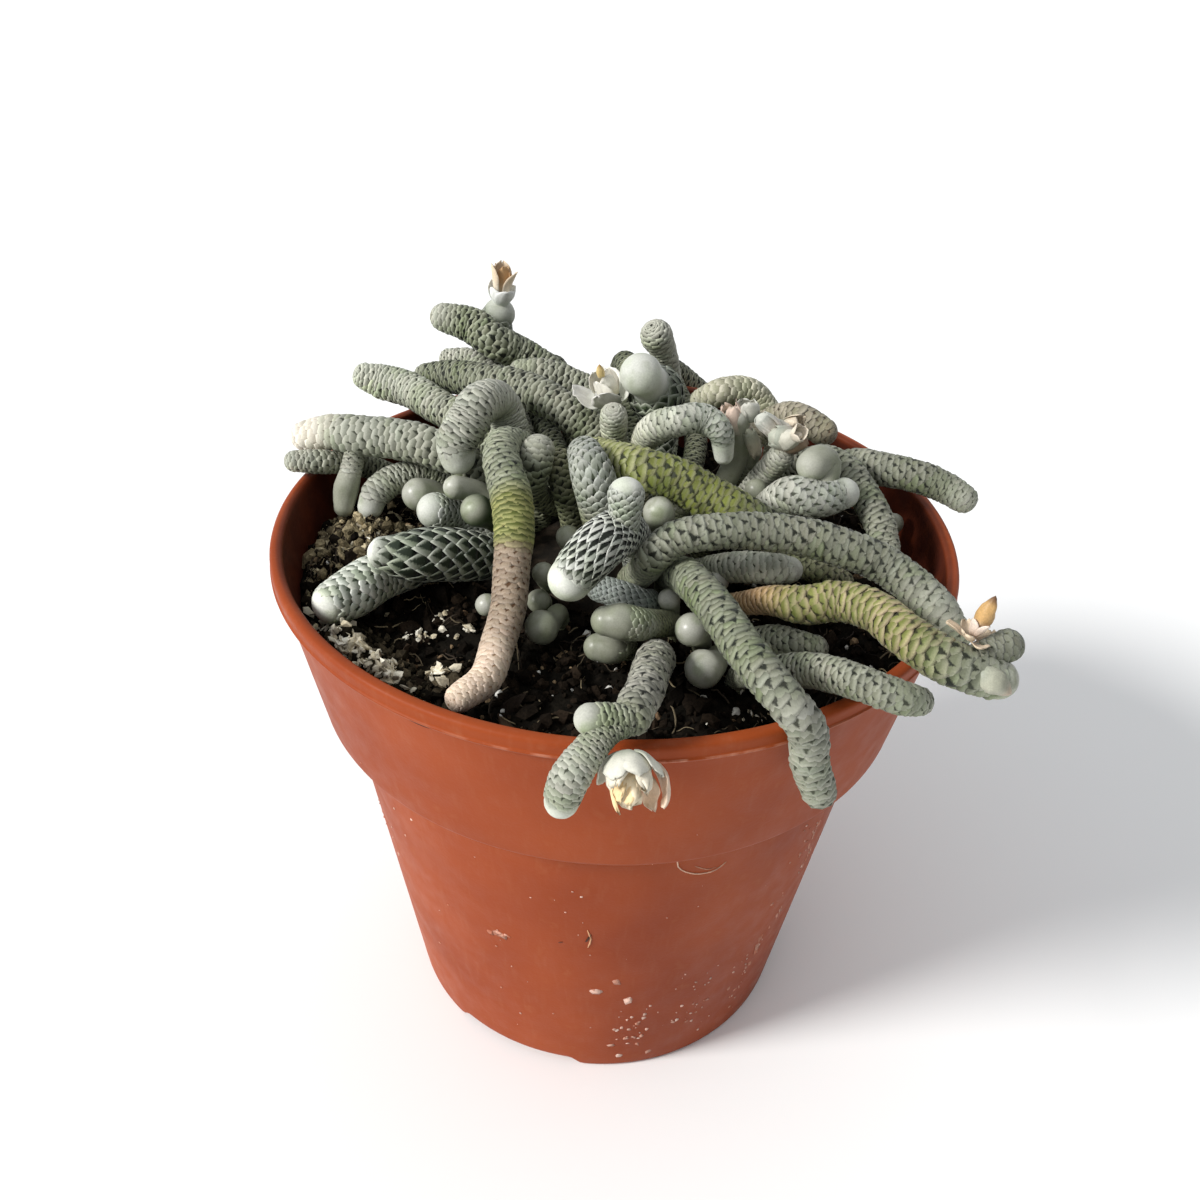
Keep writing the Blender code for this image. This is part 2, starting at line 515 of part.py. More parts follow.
def settle(places, radius, owner, chain, rooted):
    """Move the samples apart until no two pieces, nor a piece and the pot or ground, touch.

    Every round pushes close pairs apart, lifts samples off the ground and the wall, smooths
    each chain's shift along its length, so that it keeps its shape, and drops the root ends
    onto the ground.
    """
    start = places.copy()
    ends = np.concatenate([[True], chain[1:] != chain[:-1]])
    ends |= np.concatenate([chain[1:] != chain[:-1], [True]])
    count = len(places)
    for turn in range(SETTLE_ROUNDS):
        if turn % 20 == 0:
            a, b = near_pairs(places, radius, owner)
        apart = places[a] - places[b]
        distance = np.linalg.norm(apart, axis=1) + 1e-9
        short = np.clip(radius[a] + radius[b] + CLEARANCE - distance, 0, None)
        push = apart * (0.65 * short / distance)[:, None]
        touching = (short > 0).astype(float)
        share = np.bincount(a, touching, count) + np.bincount(b, touching, count)
        move = np.stack([np.bincount(a, push[:, k], count) - np.bincount(b, push[:, k], count)
                         for k in range(3)], axis=1) / np.maximum(share, 1)[:, None]
        move += wall_push(places, radius)
        floor = ground_height(places[:, 0], places[:, 1]) + radius + CLEARANCE
        inside = np.hypot(places[:, 0], places[:, 1]) < LIP_INNER_RADIUS
        move[:, 2] += inside * np.clip(floor - places[:, 2], 0, None)
        shift = places + move - start
        for _ in range(2):
            inner = 0.5 * shift[1:-1] + 0.25 * (shift[:-2] + shift[2:])
            shift[1:-1] = np.where(ends[1:-1, None], shift[1:-1], inner)
        places = start + shift
        stand = ground_height(places[rooted, 0], places[rooted, 1])
        stand += ROOT_SINK * radius[rooted] + CLEARANCE
        places[rooted, 2] = 0.5 * (places[rooted, 2] + stand)
    return places


def slimmed(places, radius, owner):
    """Radii made smaller where two settled pieces would still touch."""
    a, b = near_pairs(places, radius, owner)
    distance = np.linalg.norm(places[a] - places[b], axis=1)
    short = np.clip(radius[a] + radius[b] + CLEARANCE - distance, 0, None)
    less = np.zeros(len(radius))
    np.maximum.at(less, a, short / 2)
    np.maximum.at(less, b, short / 2)
    return radius - less


def settled_routes():
    """Every chain's settled samples: name, its node and an array of (x, y, z, radius)."""
    chains = [(name, name, rooted, route) for name, (_, rooted, route) in STEMS.items()]
    chains += [(name, stem, False, route) for name, (stem, route) in BRANCHES.items()]
    for name, (base, top, radius, _, _, _) in FLOWERS.items():
        base = np.array(base)
        top = np.array(top)
        inset = (top - base) / np.linalg.norm(top - base) * radius * FLOWER_INSET
        slim = radius * FLOWER_INSET
        route = [(*(top - inset), slim), (*(base + inset), slim)]
        chains.append((name, name, False, route))
    nodes = list(dict.fromkeys(chain[1] for chain in chains))
    samples = [smooth_route(route) for _, _, _, route in chains]
    everything = np.vstack(samples)
    chain_index = np.concatenate([np.full(len(s), i) for i, s in enumerate(samples)])
    owner = np.array([nodes.index(chains[i][1]) for i in chain_index])
    last = np.concatenate([chain_index[1:] != chain_index[:-1], [True]])
    rooted = last & np.array([chains[i][2] for i in chain_index])
    places = settle(everything[:, :3], everything[:, 3], owner, chain_index, rooted)
    radius = slimmed(places, everything[:, 3], owner)
    settled = {}
    for i, (name, node, _, _) in enumerate(chains):
        mine = chain_index == i
        settled[name] = (node, np.column_stack([places[mine], radius[mine]]))
    return settled


def tube_rings(samples):
    """Fewer rings along the samples, with two small ones that round each end."""
    steps = np.linalg.norm(np.diff(samples[:, :3], axis=0), axis=1)
    along = np.concatenate([[0.0], np.cumsum(steps)])
    count = max(2, int(round(along[-1] / RING_STEP)) + 1)
    wanted = np.linspace(0, along[-1], count)
    rings = np.stack([np.interp(wanted, along, samples[:, k]) for k in range(4)], axis=1)
    first, last = rings[0], rings[-1]
    out = (first - rings[1])[:3] / np.linalg.norm((first - rings[1])[:3])
    back = (last - rings[-2])[:3] / np.linalg.norm((last - rings[-2])[:3])
    tip = [(*(first[:3] + out * first[3] * 0.93), first[3] * 0.38),
           (*(first[:3] + out * first[3] * 0.58), first[3] * 0.82)]
    root = [(*(last[:3] + back * last[3] * 0.5), last[3] * 0.8)]
    return np.vstack([tip, rings, root])


def tube(name, samples):
    """A curve through the samples with a round bevel that follows their radius."""
    rings = tube_rings(samples)
    curve = bpy.data.curves.new(name, "CURVE")
    curve.dimensions = "3D"
    curve.bevel_depth = MM
    curve.bevel_resolution = STEM_RES
    curve.use_fill_caps = True
    curve.render_resolution_u = 0
    spline = curve.splines.new("POLY")
    spline.points.add(len(rings) - 1)
    for point, (x, y, z, radius) in zip(spline.points, rings):
        point.co = (x * MM, y * MM, z * MM, 1.0)
        point.radius = radius
    spline.use_smooth = True
    return bpy.data.objects.new(name, curve)


def build_stems(parts, cutters, materials, settled):
    for name, (finish, _, _) in STEMS.items():
        place(tube(name, settled[name][1]), parts)
        stem = baked(bpy.data.objects[name], parts, materials[finish])
        sides = [branch for branch, (owner, _) in BRANCHES.items() if owner == name]
        for branch in sides:
            place(tube(branch, settled[branch][1]), cutters)
            side = baked(bpy.data.objects[branch], cutters, materials[finish])
            cut(stem, side, "UNION")
        stem.data.shade_smooth()


# Flowers and capsules

def build_flower(name, parts, materials, samples):
    """A closed dried flower: a ball drawn out along its axis, with lobes that open to the top."""
    base, top, radius, lobes, depth, finish = FLOWERS[name]
    half = np.linalg.norm(np.array(top) - np.array(base)) / 2
    shift = samples[:, :3].mean(axis=0) - (np.array(base) + np.array(top)) / 2
    centre = (Vector(base) + Vector(top)) / 2 + Vector(shift)
    mesh = bpy.data.meshes.new(name)
    work = bmesh.new()
    bmesh.ops.create_uvsphere(work, u_segments=FLOWER_AROUND, v_segments=FLOWER_ALONG, radius=1.0)
    for vert in work.verts:
        angle = math.atan2(vert.co.y, vert.co.x)
        rise = 0.5 + 0.5 * vert.co.z
        lobe = 1 - depth * rise * (1 - math.cos(lobes * angle))
        vert.co.x *= radius * lobe * MM
        vert.co.y *= radius * lobe * MM
        vert.co.z *= half * MM
    work.to_mesh(mesh)
    work.free()
    flower = place(bpy.data.objects.new(name, mesh), parts, materials[finish])
    flower.location = centre * MM
    flower.rotation_euler = (Vector(top) - Vector(base)).to_track_quat("Z", "Y").to_euler()
    mesh.shade_smooth()
    return flower


def main():
    clear_scene()
    parts = new_collection("potted_avonia")
    cutters = new_collection("cutters")
    materials = {name: make_material(name) for name in FINISHES}
    build_pot(parts, cutters, materials)
    build_soil(parts, materials)
    build_crown(parts, materials)
    settled = settled_routes()
    build_stems(parts, cutters, materials, settled)
    for name in FLOWERS:
        build_flower(name, parts, materials, settled[name][1])
    for name in ("pot", "root_crown"):
        bpy.data.objects[name].data.shade_smooth()


main()
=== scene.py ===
# Potted avonia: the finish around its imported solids. Every scaly stem is dressed with small
# shields on a golden-angle spiral, the pot is turned with a rounded lip, and the soil gets its
# crumbs, fibres and grit. Lengths in the dictionaries are millimetres, meshes are metres.

import math

import bpy
import numpy as np
from mathutils import Matrix


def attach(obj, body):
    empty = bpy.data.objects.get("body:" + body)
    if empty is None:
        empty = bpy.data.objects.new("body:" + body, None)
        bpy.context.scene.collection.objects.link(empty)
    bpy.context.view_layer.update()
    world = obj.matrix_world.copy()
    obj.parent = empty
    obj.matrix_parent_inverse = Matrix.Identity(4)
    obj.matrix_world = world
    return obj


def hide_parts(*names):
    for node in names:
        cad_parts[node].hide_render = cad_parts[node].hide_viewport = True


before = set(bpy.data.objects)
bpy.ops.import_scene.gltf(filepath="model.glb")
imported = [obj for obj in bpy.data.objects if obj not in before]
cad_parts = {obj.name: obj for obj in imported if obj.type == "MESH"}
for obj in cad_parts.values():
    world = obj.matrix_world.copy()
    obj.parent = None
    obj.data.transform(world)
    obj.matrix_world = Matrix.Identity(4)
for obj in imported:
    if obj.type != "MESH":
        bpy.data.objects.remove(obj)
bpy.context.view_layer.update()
mm = 0.001
goldenAngle = math.radians(137.508)
print("frame loaded:", len(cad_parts), "nodes")


# Mesh helpers

def makePiece(name, points, faces, material, layers=None, smooth=None):
    # points (n, 3) in millimetres, faces a list of index arrays with one row per face, layers
    # the attributes of the points and smooth one truth value per index array
    mesh = bpy.data.meshes.new(name)
    corners = np.concatenate([f.ravel() for f in faces])
    sizes = np.concatenate([np.full(len(f), f.shape[1]) for f in faces])
    starts = np.concatenate([[0], np.cumsum(sizes)[:-1]])
    mesh.vertices.add(len(points))
    mesh.vertices.foreach_set("co", (np.asarray(points) * mm).ravel())
    mesh.loops.add(len(corners))
    mesh.loops.foreach_set("vertex_index", corners.astype(np.int32))
    mesh.polygons.add(len(sizes))
    mesh.polygons.foreach_set("loop_start", starts.astype(np.int32))
    mesh.update(calc_edges=True)
    smooth = smooth or [True] * len(faces)
    mesh.polygons.foreach_set("use_smooth", np.repeat(smooth, [len(f) for f in faces]))
    for key, values in (layers or {}).items():
        if key == "window":
            mesh.attributes.new(key, "FLOAT_VECTOR", "POINT").data.foreach_set("vector", values.ravel())
            continue
        layer = mesh.color_attributes.new(key, "FLOAT_COLOR", "POINT")
        rgba = np.column_stack([np.clip(values, 0, 1), np.ones(len(values))])
        layer.data.foreach_set("color", rgba.ravel())
    mesh.materials.append(material)
    piece = bpy.data.objects.new(name, mesh)
    bpy.context.scene.collection.objects.link(piece)
    return piece


def gridFaces(rows, columns, wrap=False):
    # quads of a grid of points, row by row; wrap joins the last column to the first
    last = columns if wrap else columns - 1
    i, j = np.meshgrid(np.arange(rows - 1), np.arange(last), indexing="ij")
    nextJ = (j + 1) % columns
    quads = [i * columns + j, i * columns + nextJ, (i + 1) * columns + nextJ, (i + 1) * columns + j]
    return np.stack(quads, axis=-1).reshape(-1, 4)


def fanFaces(start, columns, pole):
    # triangles from one ring of points to a pole
    j = np.arange(columns)
    return np.stack([start + j, start + (j + 1) % columns, np.full(columns, pole)], axis=1)


def turnedFaces(rows, columns, way=1):
    # a closed form of rings with a pole before the first ring and one after the last; a way of
    # -1 turns its faces over
    faces = [gridFaces(rows, columns, wrap=True), fanFaces(0, columns, rows * columns)[:, ::-1],
             fanFaces((rows - 1) * columns, columns, rows * columns + 1)]
    return [f[:, ::way] for f in faces]


def gridBorder(rows, columns):
    # the points round a grid's border, in order
    border = [i * columns for i in range(rows)] + [(rows - 1) * columns + j for j in range(1, columns)]
    border += [i * columns + columns - 1 for i in range(rows - 2, -1, -1)]
    return np.array(border + list(range(columns - 2, 0, -1)))


class Bundle:
    # gathers shapes that become one mesh: a tint for each point and, on the stems, the colour
    # of its gaps and its place in a shield's window
    def __init__(self):
        self.points, self.faces, self.smooth, self.count = [], [], [], 0
        self.layers = {"tint": [], "gap": [], "window": []}

    def add(self, points, faces, tint, gap=None, window=None, flat=()):
        points = np.asarray(points, dtype=float).reshape(-1, 3)
        self.points.append(points)
        for key, values in (("tint", tint), ("gap", gap), ("window", window)):
            if values is not None:
                values = np.asarray(values, dtype=float)
                values = np.broadcast_to(values if values.ndim == 1 else values.reshape(-1, 3), points.shape)
                self.layers[key].append(values)
        self.faces += [f + self.count for f in faces]
        self.smooth += [k not in flat for k in range(len(faces))]
        self.count += len(points)

    def piece(self, name, material, smooth=True):
        layers = {key: np.vstack(values) for key, values in self.layers.items() if values}
        return makePiece(name, np.vstack(self.points), self.faces, material, layers,
                         [smooth and s for s in self.smooth])


def unit(vectors):
    length = np.linalg.norm(vectors, axis=-1, keepdims=True)
    return vectors / np.maximum(length, 1e-9)


def hashed(ix, iy, iz, seed):
    # a fixed pseudo-random number from 0 to 1 for each whole-number corner
    h = (ix * 374761393 + iy * 668265263 + iz * 1440662683 + seed * 1274126177) & 0xffffffff
    h = ((h ^ (h >> 13)) * 1103515245) & 0xffffffff
    return ((h ^ (h >> 16)) & 0xffff) / 65535.0


def smoothNoise(points, size, seed, octaves=1):
    # value noise from -1 to 1: corner values eased along x, y and z, then finer and weaker
    # copies of the same noise added
    total, weight = 0.0, 0.0
    for k in range(octaves):
        p = np.asarray(points) / size * 2 ** k + 17.3 * k
        cell = np.floor(p).astype(np.int64)
        f = p - cell
        f = f * f * (3 - 2 * f)
        value = 0.0
        for dx in (0, 1):
            for dy in (0, 1):
                for dz in (0, 1):
                    share = (np.where(dx, f[..., 0], 1 - f[..., 0])
                             * np.where(dy, f[..., 1], 1 - f[..., 1])
                             * np.where(dz, f[..., 2], 1 - f[..., 2]))
                    corner = hashed(cell[..., 0] + dx, cell[..., 1] + dy, cell[..., 2] + dz, seed + k)
                    value = value + share * corner
        total = total + (2 * value - 1) * 0.5 ** k
        weight += 0.5 ** k
    return total / weight


def ease(low, high, x):
    t = np.clip((x - low) / (high - low), 0, 1)
    return t * t * (3 - 2 * t)


def blend(first, second, share):
    first, second = np.asarray(first, dtype=float), np.asarray(second, dtype=float)
    return first + (second - first) * np.asarray(share)[..., None]


# Materials

def newMaterial(name):
    # a material's node tree with its shader and the object's own coordinates
    material = bpy.data.materials.new(name)
    material.use_nodes = True
    tree = material.node_tree
    place = addNode(tree, "ShaderNodeTexCoord").outputs["Object"]
    return material, tree, tree.nodes["Principled BSDF"], place


def addNode(tree, kind, feeds=None, **values):
    # a node with its settings or socket values, and the sockets that feed its inputs
    node = tree.nodes.new(kind)
    for key, value in values.items():
        if hasattr(node, key):
            setattr(node, key, value)
        else:
            node.inputs[key.replace("_", " ")].default_value = value
    for key, source in (feeds or {}).items():
        tree.links.new(source, node.inputs[key])
    return node


def attribute(tree, name, socket="Color"):
    return addNode(tree, "ShaderNodeAttribute", attribute_name=name).outputs[socket]


def noiseNode(tree, place, size, detail=3.0):
    # noise from 0 to 1 with patches of about this many millimetres
    return addNode(tree, "ShaderNodeTexNoise", {"Vector": place}, Scale=1 / (size * mm),
                   Detail=detail).outputs["Fac"]


def rangeNode(tree, source, low, high, to0, to1):
    return addNode(tree, "ShaderNodeMapRange", {"Value": source}, From_Min=low, From_Max=high,
                   To_Min=to0, To_Max=to1).outputs["Result"]


def mathNode(tree, operation, *terms):
    # each term is a number or the socket that gives it
    node = addNode(tree, "ShaderNodeMath", {k: t for k, t in enumerate(terms) if not isinstance(t, float)},
                   operation=operation)
    for k, term in enumerate(terms):
        if isinstance(term, float):
            node.inputs[k].default_value = term
    return node.outputs["Value"]


def mixNode(tree, share, first, second):
    # each colour is a triple or the socket that gives it
    node = addNode(tree, "ShaderNodeMix", {0: share}, data_type="RGBA")
    for k, colour in ((6, first), (7, second)):
        if isinstance(colour, tuple):
            node.inputs[k].default_value = (*colour, 1.0)
        else:
            tree.links.new(colour, node.inputs[k])
    return node.outputs[2]


def tintedMaterial(name, look, shadeWindows=False):
    # colour from the "tint" attribute, made uneven by two sizes of noise, with a fine grain bump.
    # With windows on, a wedge |x| + |y| < 1 of the "window" attribute takes the "gap" colour and
    # sinks, its border made ragged by noise; that near-black colour is the stem's own dark green with
    # painted shade of the hollows between the shields
    material, tree, shader, place = newMaterial(name)
    coarse, fine = noiseNode(tree, place, look["patch"]), noiseNode(tree, place, look["grain"], 2.0)
    low, high = 1 - look["uneven"], 1 + look["uneven"]
    shade = mathNode(tree, "MULTIPLY", rangeNode(tree, coarse, 0.3, 0.7, low, high),
                     rangeNode(tree, fine, 0.3, 0.7, low, high))
    colour = addNode(tree, "ShaderNodeVectorMath", operation="SCALE")
    tree.links.new(attribute(tree, "tint"), colour.inputs[0])
    tree.links.new(shade, colour.inputs["Scale"])
    final, relief = colour.outputs["Vector"], fine
    if shadeWindows:
        size = addNode(tree, "ShaderNodeVectorMath", {0: attribute(tree, "window", "Vector")},
                       operation="ABSOLUTE")
        reach = addNode(tree, "ShaderNodeVectorMath", {0: size.outputs["Vector"]}, operation="DOT_PRODUCT")
        reach.inputs[1].default_value = (1, 1, 0)
        ragged = mathNode(tree, "ADD", reach.outputs["Value"], rangeNode(tree, fine, 0.3, 0.7, -0.12, 0.12))
        # painted shade: the window's wedge darkens to the gap colour
        windowShade = rangeNode(tree, ragged, 0.82, 1.12, 1, 0)
        final = mixNode(tree, windowShade, final, attribute(tree, "gap"))
        relief = mathNode(tree, "MULTIPLY_ADD", windowShade, -1.4, relief)
    rough = rangeNode(tree, coarse, 0.3, 0.7, look["rough"] - 0.06, look["rough"] + 0.06)
    bump = addNode(tree, "ShaderNodeBump", {"Height": relief}, Strength=look["bump"],
                   Distance=look["grain"] * mm * 0.3)
    tree.links.new(final, shader.inputs["Base Color"])
    tree.links.new(rough, shader.inputs["Roughness"])
    tree.links.new(bump.outputs["Normal"], shader.inputs["Normal"])
    shader.inputs["Specular IOR Level"].default_value = look["gloss"]
    shader.inputs["Sheen Weight"].default_value = look["sheen"]
    shader.inputs["Sheen Roughness"].default_value = 0.4
    return material


# Finishes: sizes of the colour patches and of the grain, how uneven the colour is, roughness,
# depth of the grain, gloss and sheen
finishChannels = ("patch", "grain", "uneven", "rough", "bump", "gloss", "sheen")
finishes = {
    "scaly": (5.0, 0.28, 0.10, 0.70, 0.5, 0.30, 0.10),
    "net": (5.0, 0.25, 0.08, 0.62, 0.4, 0.35, 0.10),
    "bud": (2.0, 0.20, 0.09, 0.36, 0.22, 0.50, 0.03),
    "olive": (4.0, 0.28, 0.12, 0.66, 0.5, 0.32, 0.08),
    "drying": (3.0, 0.25, 0.12, 0.68, 0.6, 0.30, 0.08),
    "petal": (1.6, 0.22, 0.07, 0.58, 0.5, 0.35, 0.15),
    "capsule": (1.4, 0.20, 0.12, 0.5, 0.5, 0.40, 0.05),
    "crown": (3.0, 0.40, 0.25, 0.85, 0.9, 0.20, 0.0),
    "soil": (4.0, 0.35, 0.40, 0.90, 1.0, 0.06, 0.0),
    "grit": (2.0, 0.25, 0.10, 0.85, 0.9, 0.20, 0.0),
    "straw": (2.0, 0.20, 0.20, 0.75, 0.5, 0.25, 0.0),
}
stemFinishes = ("scaly", "net", "bud", "olive", "drying")
materials = {name: tintedMaterial(name + "_finish", dict(zip(finishChannels, values)), name in stemFinishes)
             for name, values in finishes.items()}


# Stems: how their routes settle clear of each other, the pot and the ground

settleSpec = {"sampleStep": 1.8, "clearance": 0.42, "rounds": 360, "pairReach": 2.5,
              "pairsEvery": 20, "push": 0.65, "rootSink": 0.9, "flowerInset": 0.9, "wallMargin": 0.15}

potSpec = {"height": 90.0, "lipRadius": 52.5, "lipInner": 50.6, "lipHeight": 2.6,
           "bandTop": 51.5, "bandFoot": 46.8, "ledge": 63.0, "bodyTop": 43.4, "base": 33.4,
           "baseRound": 0.9, "wall": 1.2, "floor": 3.4, "steps": 288,
           "archAngles": (-114.0, 6.0, 126.0), "archWidth": 24.0, "archHeight": 2.0,
           "archInner": 27.0, "archSlope": 2.4, "archFade": 3.6, "drainRadius": 1.75, "drainDistance": 29.6}

groundSpec = {"soilEdge": 79.6, "rough": 0.5, "clumpPlace": (-41.0, 2.0), "clumpSpread": 6.0,
              "clumpRise": 4.5, "crownRadius": 15.0, "crownLevel": 83.0, "crownRise": 5.0,
              "crownSink": 4.0, "crownMargin": 2.4}


def soilHeight(x, y):
    # a mound that falls to the wall, with low lumps and one raised clump on the left
    g = groundSpec
    r = np.hypot(x, y)
    slope = (g["crownLevel"] - g["soilEdge"]) / (potSpec["lipInner"] - g["crownRadius"])
    mound = g["crownLevel"] - slope * np.clip(r - g["crownRadius"], 0, None)
    lumps = np.sin(0.31 * x + 0.9) * np.cos(0.27 * y - 0.4) + 0.6 * np.sin(0.52 * x - 0.44 * y)
    fade = np.clip((r - g["crownRadius"]) / 6.0, 0, 1)
    clump = np.exp(-((x - g["clumpPlace"][0]) ** 2 + (y - g["clumpPlace"][1]) ** 2)
                   / (2 * g["clumpSpread"] ** 2))
    return mound + fade * (g["rough"] * lumps + g["clumpRise"] * clump)


def crownHeight(r):
    g = groundSpec
    return g["crownLevel"] + g["crownRise"] * np.sqrt(np.clip(1 - (r / g["crownRadius"]) ** 2, 0, 1))


def groundHeight(x, y):
    # what a stem stands on: the crown, a little widened past its edge, or the soil
    g = groundSpec
    across = np.hypot(x, y) * g["crownRadius"] / (g["crownRadius"] + g["crownMargin"])
    crown = np.where(across < g["crownRadius"], crownHeight(across), 0.0)
    return np.maximum(crown, soilHeight(x, y))


def smoothRoute(points, step):
    # a Catmull-Rom curve through the points, sampled at even steps
    p = np.array(points, dtype=float)
    p = np.vstack([2 * p[0] - p[1], p, 2 * p[-1] - p[-2]])
    t = np.linspace(0, 1, 16, endpoint=False)[:, None]
    spans = []
    for a, b, c, d in zip(p[:-3], p[1:-2], p[2:-1], p[3:]):
        spans.append(0.5 * (2 * b + (c - a) * t + (2 * a - 5 * b + 4 * c - d) * t ** 2
                            + (3 * b - a - 3 * c + d) * t ** 3))
    curve = np.vstack(spans + [p[-2:-1]])
    along = np.concatenate([[0.0], np.cumsum(np.linalg.norm(np.diff(curve[:, :3], axis=0), axis=1))])
    wanted = np.linspace(0, along[-1], max(3, int(round(along[-1] / step)) + 1))
    return np.stack([np.interp(wanted, along, curve[:, k]) for k in range(4)], axis=1)


def wallPush(places, radius):
    # how far each sample must move to clear the pot's wall, a thick sloping line in section
    s = potSpec
    r = np.hypot(places[:, 0], places[:, 1])
    z = places[:, 2]
    half = (s["lipRadius"] - s["lipInner"]) / 2 + settleSpec["wallMargin"]
    top = np.array([(s["lipRadius"] + s["lipInner"]) / 2, s["height"] - half])
    line = np.array([s["bandFoot"] - s["wall"] / 2, s["ledge"]]) - top
    t = np.clip(((r - top[0]) * line[0] + (z - top[1]) * line[1]) / (line @ line), 0, 1)
    out = r - (top[0] + t * line[0])
    up = z - (top[1] + t * line[1])
    distance = np.hypot(out, up) + 1e-9
    short = np.clip(radius + half + settleSpec["clearance"] - distance, 0, None) / distance
    return np.stack([places[:, 0] / r * out * short, places[:, 1] / r * out * short,
                     up * short], axis=1)


def nearPairs(places, radius, owner):
    gap = np.linalg.norm(places[:, None, :] - places[None, :, :], axis=2)
    reach = radius[:, None] + radius[None, :] + settleSpec["pairReach"]
    return np.nonzero(np.triu((gap < reach) & (owner[:, None] != owner[None, :])))


def settle(places, radius, owner, chain, rooted):
    # every round pushes close pairs apart, lifts samples off the ground and the wall, smooths
    # each chain's shift along its length and drops the root ends onto the ground
    start = places.copy()
    change = chain[1:] != chain[:-1]
    ends = np.concatenate([[True], change]) | np.concatenate([change, [True]])
    count = len(places)
    clearance = settleSpec["clearance"]
    for turn in range(settleSpec["rounds"]):
        if turn % settleSpec["pairsEvery"] == 0:
            a, b = nearPairs(places, radius, owner)
        apart = places[a] - places[b]
        distance = np.linalg.norm(apart, axis=1) + 1e-9
        short = np.clip(radius[a] + radius[b] + clearance - distance, 0, None)
        push = apart * (settleSpec["push"] * short / distance)[:, None]
        touching = (short > 0).astype(float)
        share = np.bincount(a, touching, count) + np.bincount(b, touching, count)
        move = np.stack([np.bincount(a, push[:, k], count) - np.bincount(b, push[:, k], count)
                         for k in range(3)], axis=1) / np.maximum(share, 1)[:, None]
        move += wallPush(places, radius)
        floor = groundHeight(places[:, 0], places[:, 1]) + radius + clearance
        inside = np.hypot(places[:, 0], places[:, 1]) < potSpec["lipInner"]
        move[:, 2] += inside * np.clip(floor - places[:, 2], 0, None)
        shift = places + move - start
        for _ in range(2):
            inner = 0.5 * shift[1:-1] + 0.25 * (shift[:-2] + shift[2:])
            shift[1:-1] = np.where(ends[1:-1, None], shift[1:-1], inner)
        places = start + shift
        stand = groundHeight(places[rooted, 0], places[rooted, 1])
        stand += settleSpec["rootSink"] * radius[rooted] + clearance
        places[rooted, 2] = 0.5 * (places[rooted, 2] + stand)
    return places


def settledRoutes():
    # every chain's settled samples: name -> (node, array of x, y, z, radius), slimmed where two
    # pieces would still touch
    inset = settleSpec["flowerInset"]
    chains = [(name, name, True, stem[-1]) for name, stem in stems.items()]
    chains += [(name, branch[0], False, branch[-1]) for name, branch in branches.items()]
    for name, spec in flowers.items():
        base, top = np.array(spec["base"]), np.array(spec["top"])
        move = (top - base) / np.linalg.norm(top - base) * spec["radius"] * inset
        slim = spec["radius"] * inset
        chains.append((name, name, False, [(*(top - move), slim), (*(base + move), slim)]))
    nodes = list(dict.fromkeys(chain[1] for chain in chains))
    samples = [smoothRoute(chain[3], settleSpec["sampleStep"]) for chain in chains]
    everything = np.vstack(samples)
    chain = np.concatenate([np.full(len(s), i) for i, s in enumerate(samples)])
    owner = np.array([nodes.index(chains[i][1]) for i in chain])
    last = np.concatenate([chain[1:] != chain[:-1], [True]])
    rooted = last & np.array([chains[i][2] for i in chain])
    radius = everything[:, 3]
    places = settle(everything[:, :3], radius, owner, chain, rooted)
    a, b = nearPairs(places, radius, owner)
    distance = np.linalg.norm(places[a] - places[b], axis=1)
    short = np.clip(radius[a] + radius[b] + settleSpec["clearance"] - distance, 0, None)
    less = np.zeros(len(radius))
    np.maximum.at(less, a, short / 2)
    np.maximum.at(less, b, short / 2)
    whole = np.column_stack([places, radius - less])
    return {name: (node, whole[chain == i]) for i, (name, node, _, _) in enumerate(chains)}


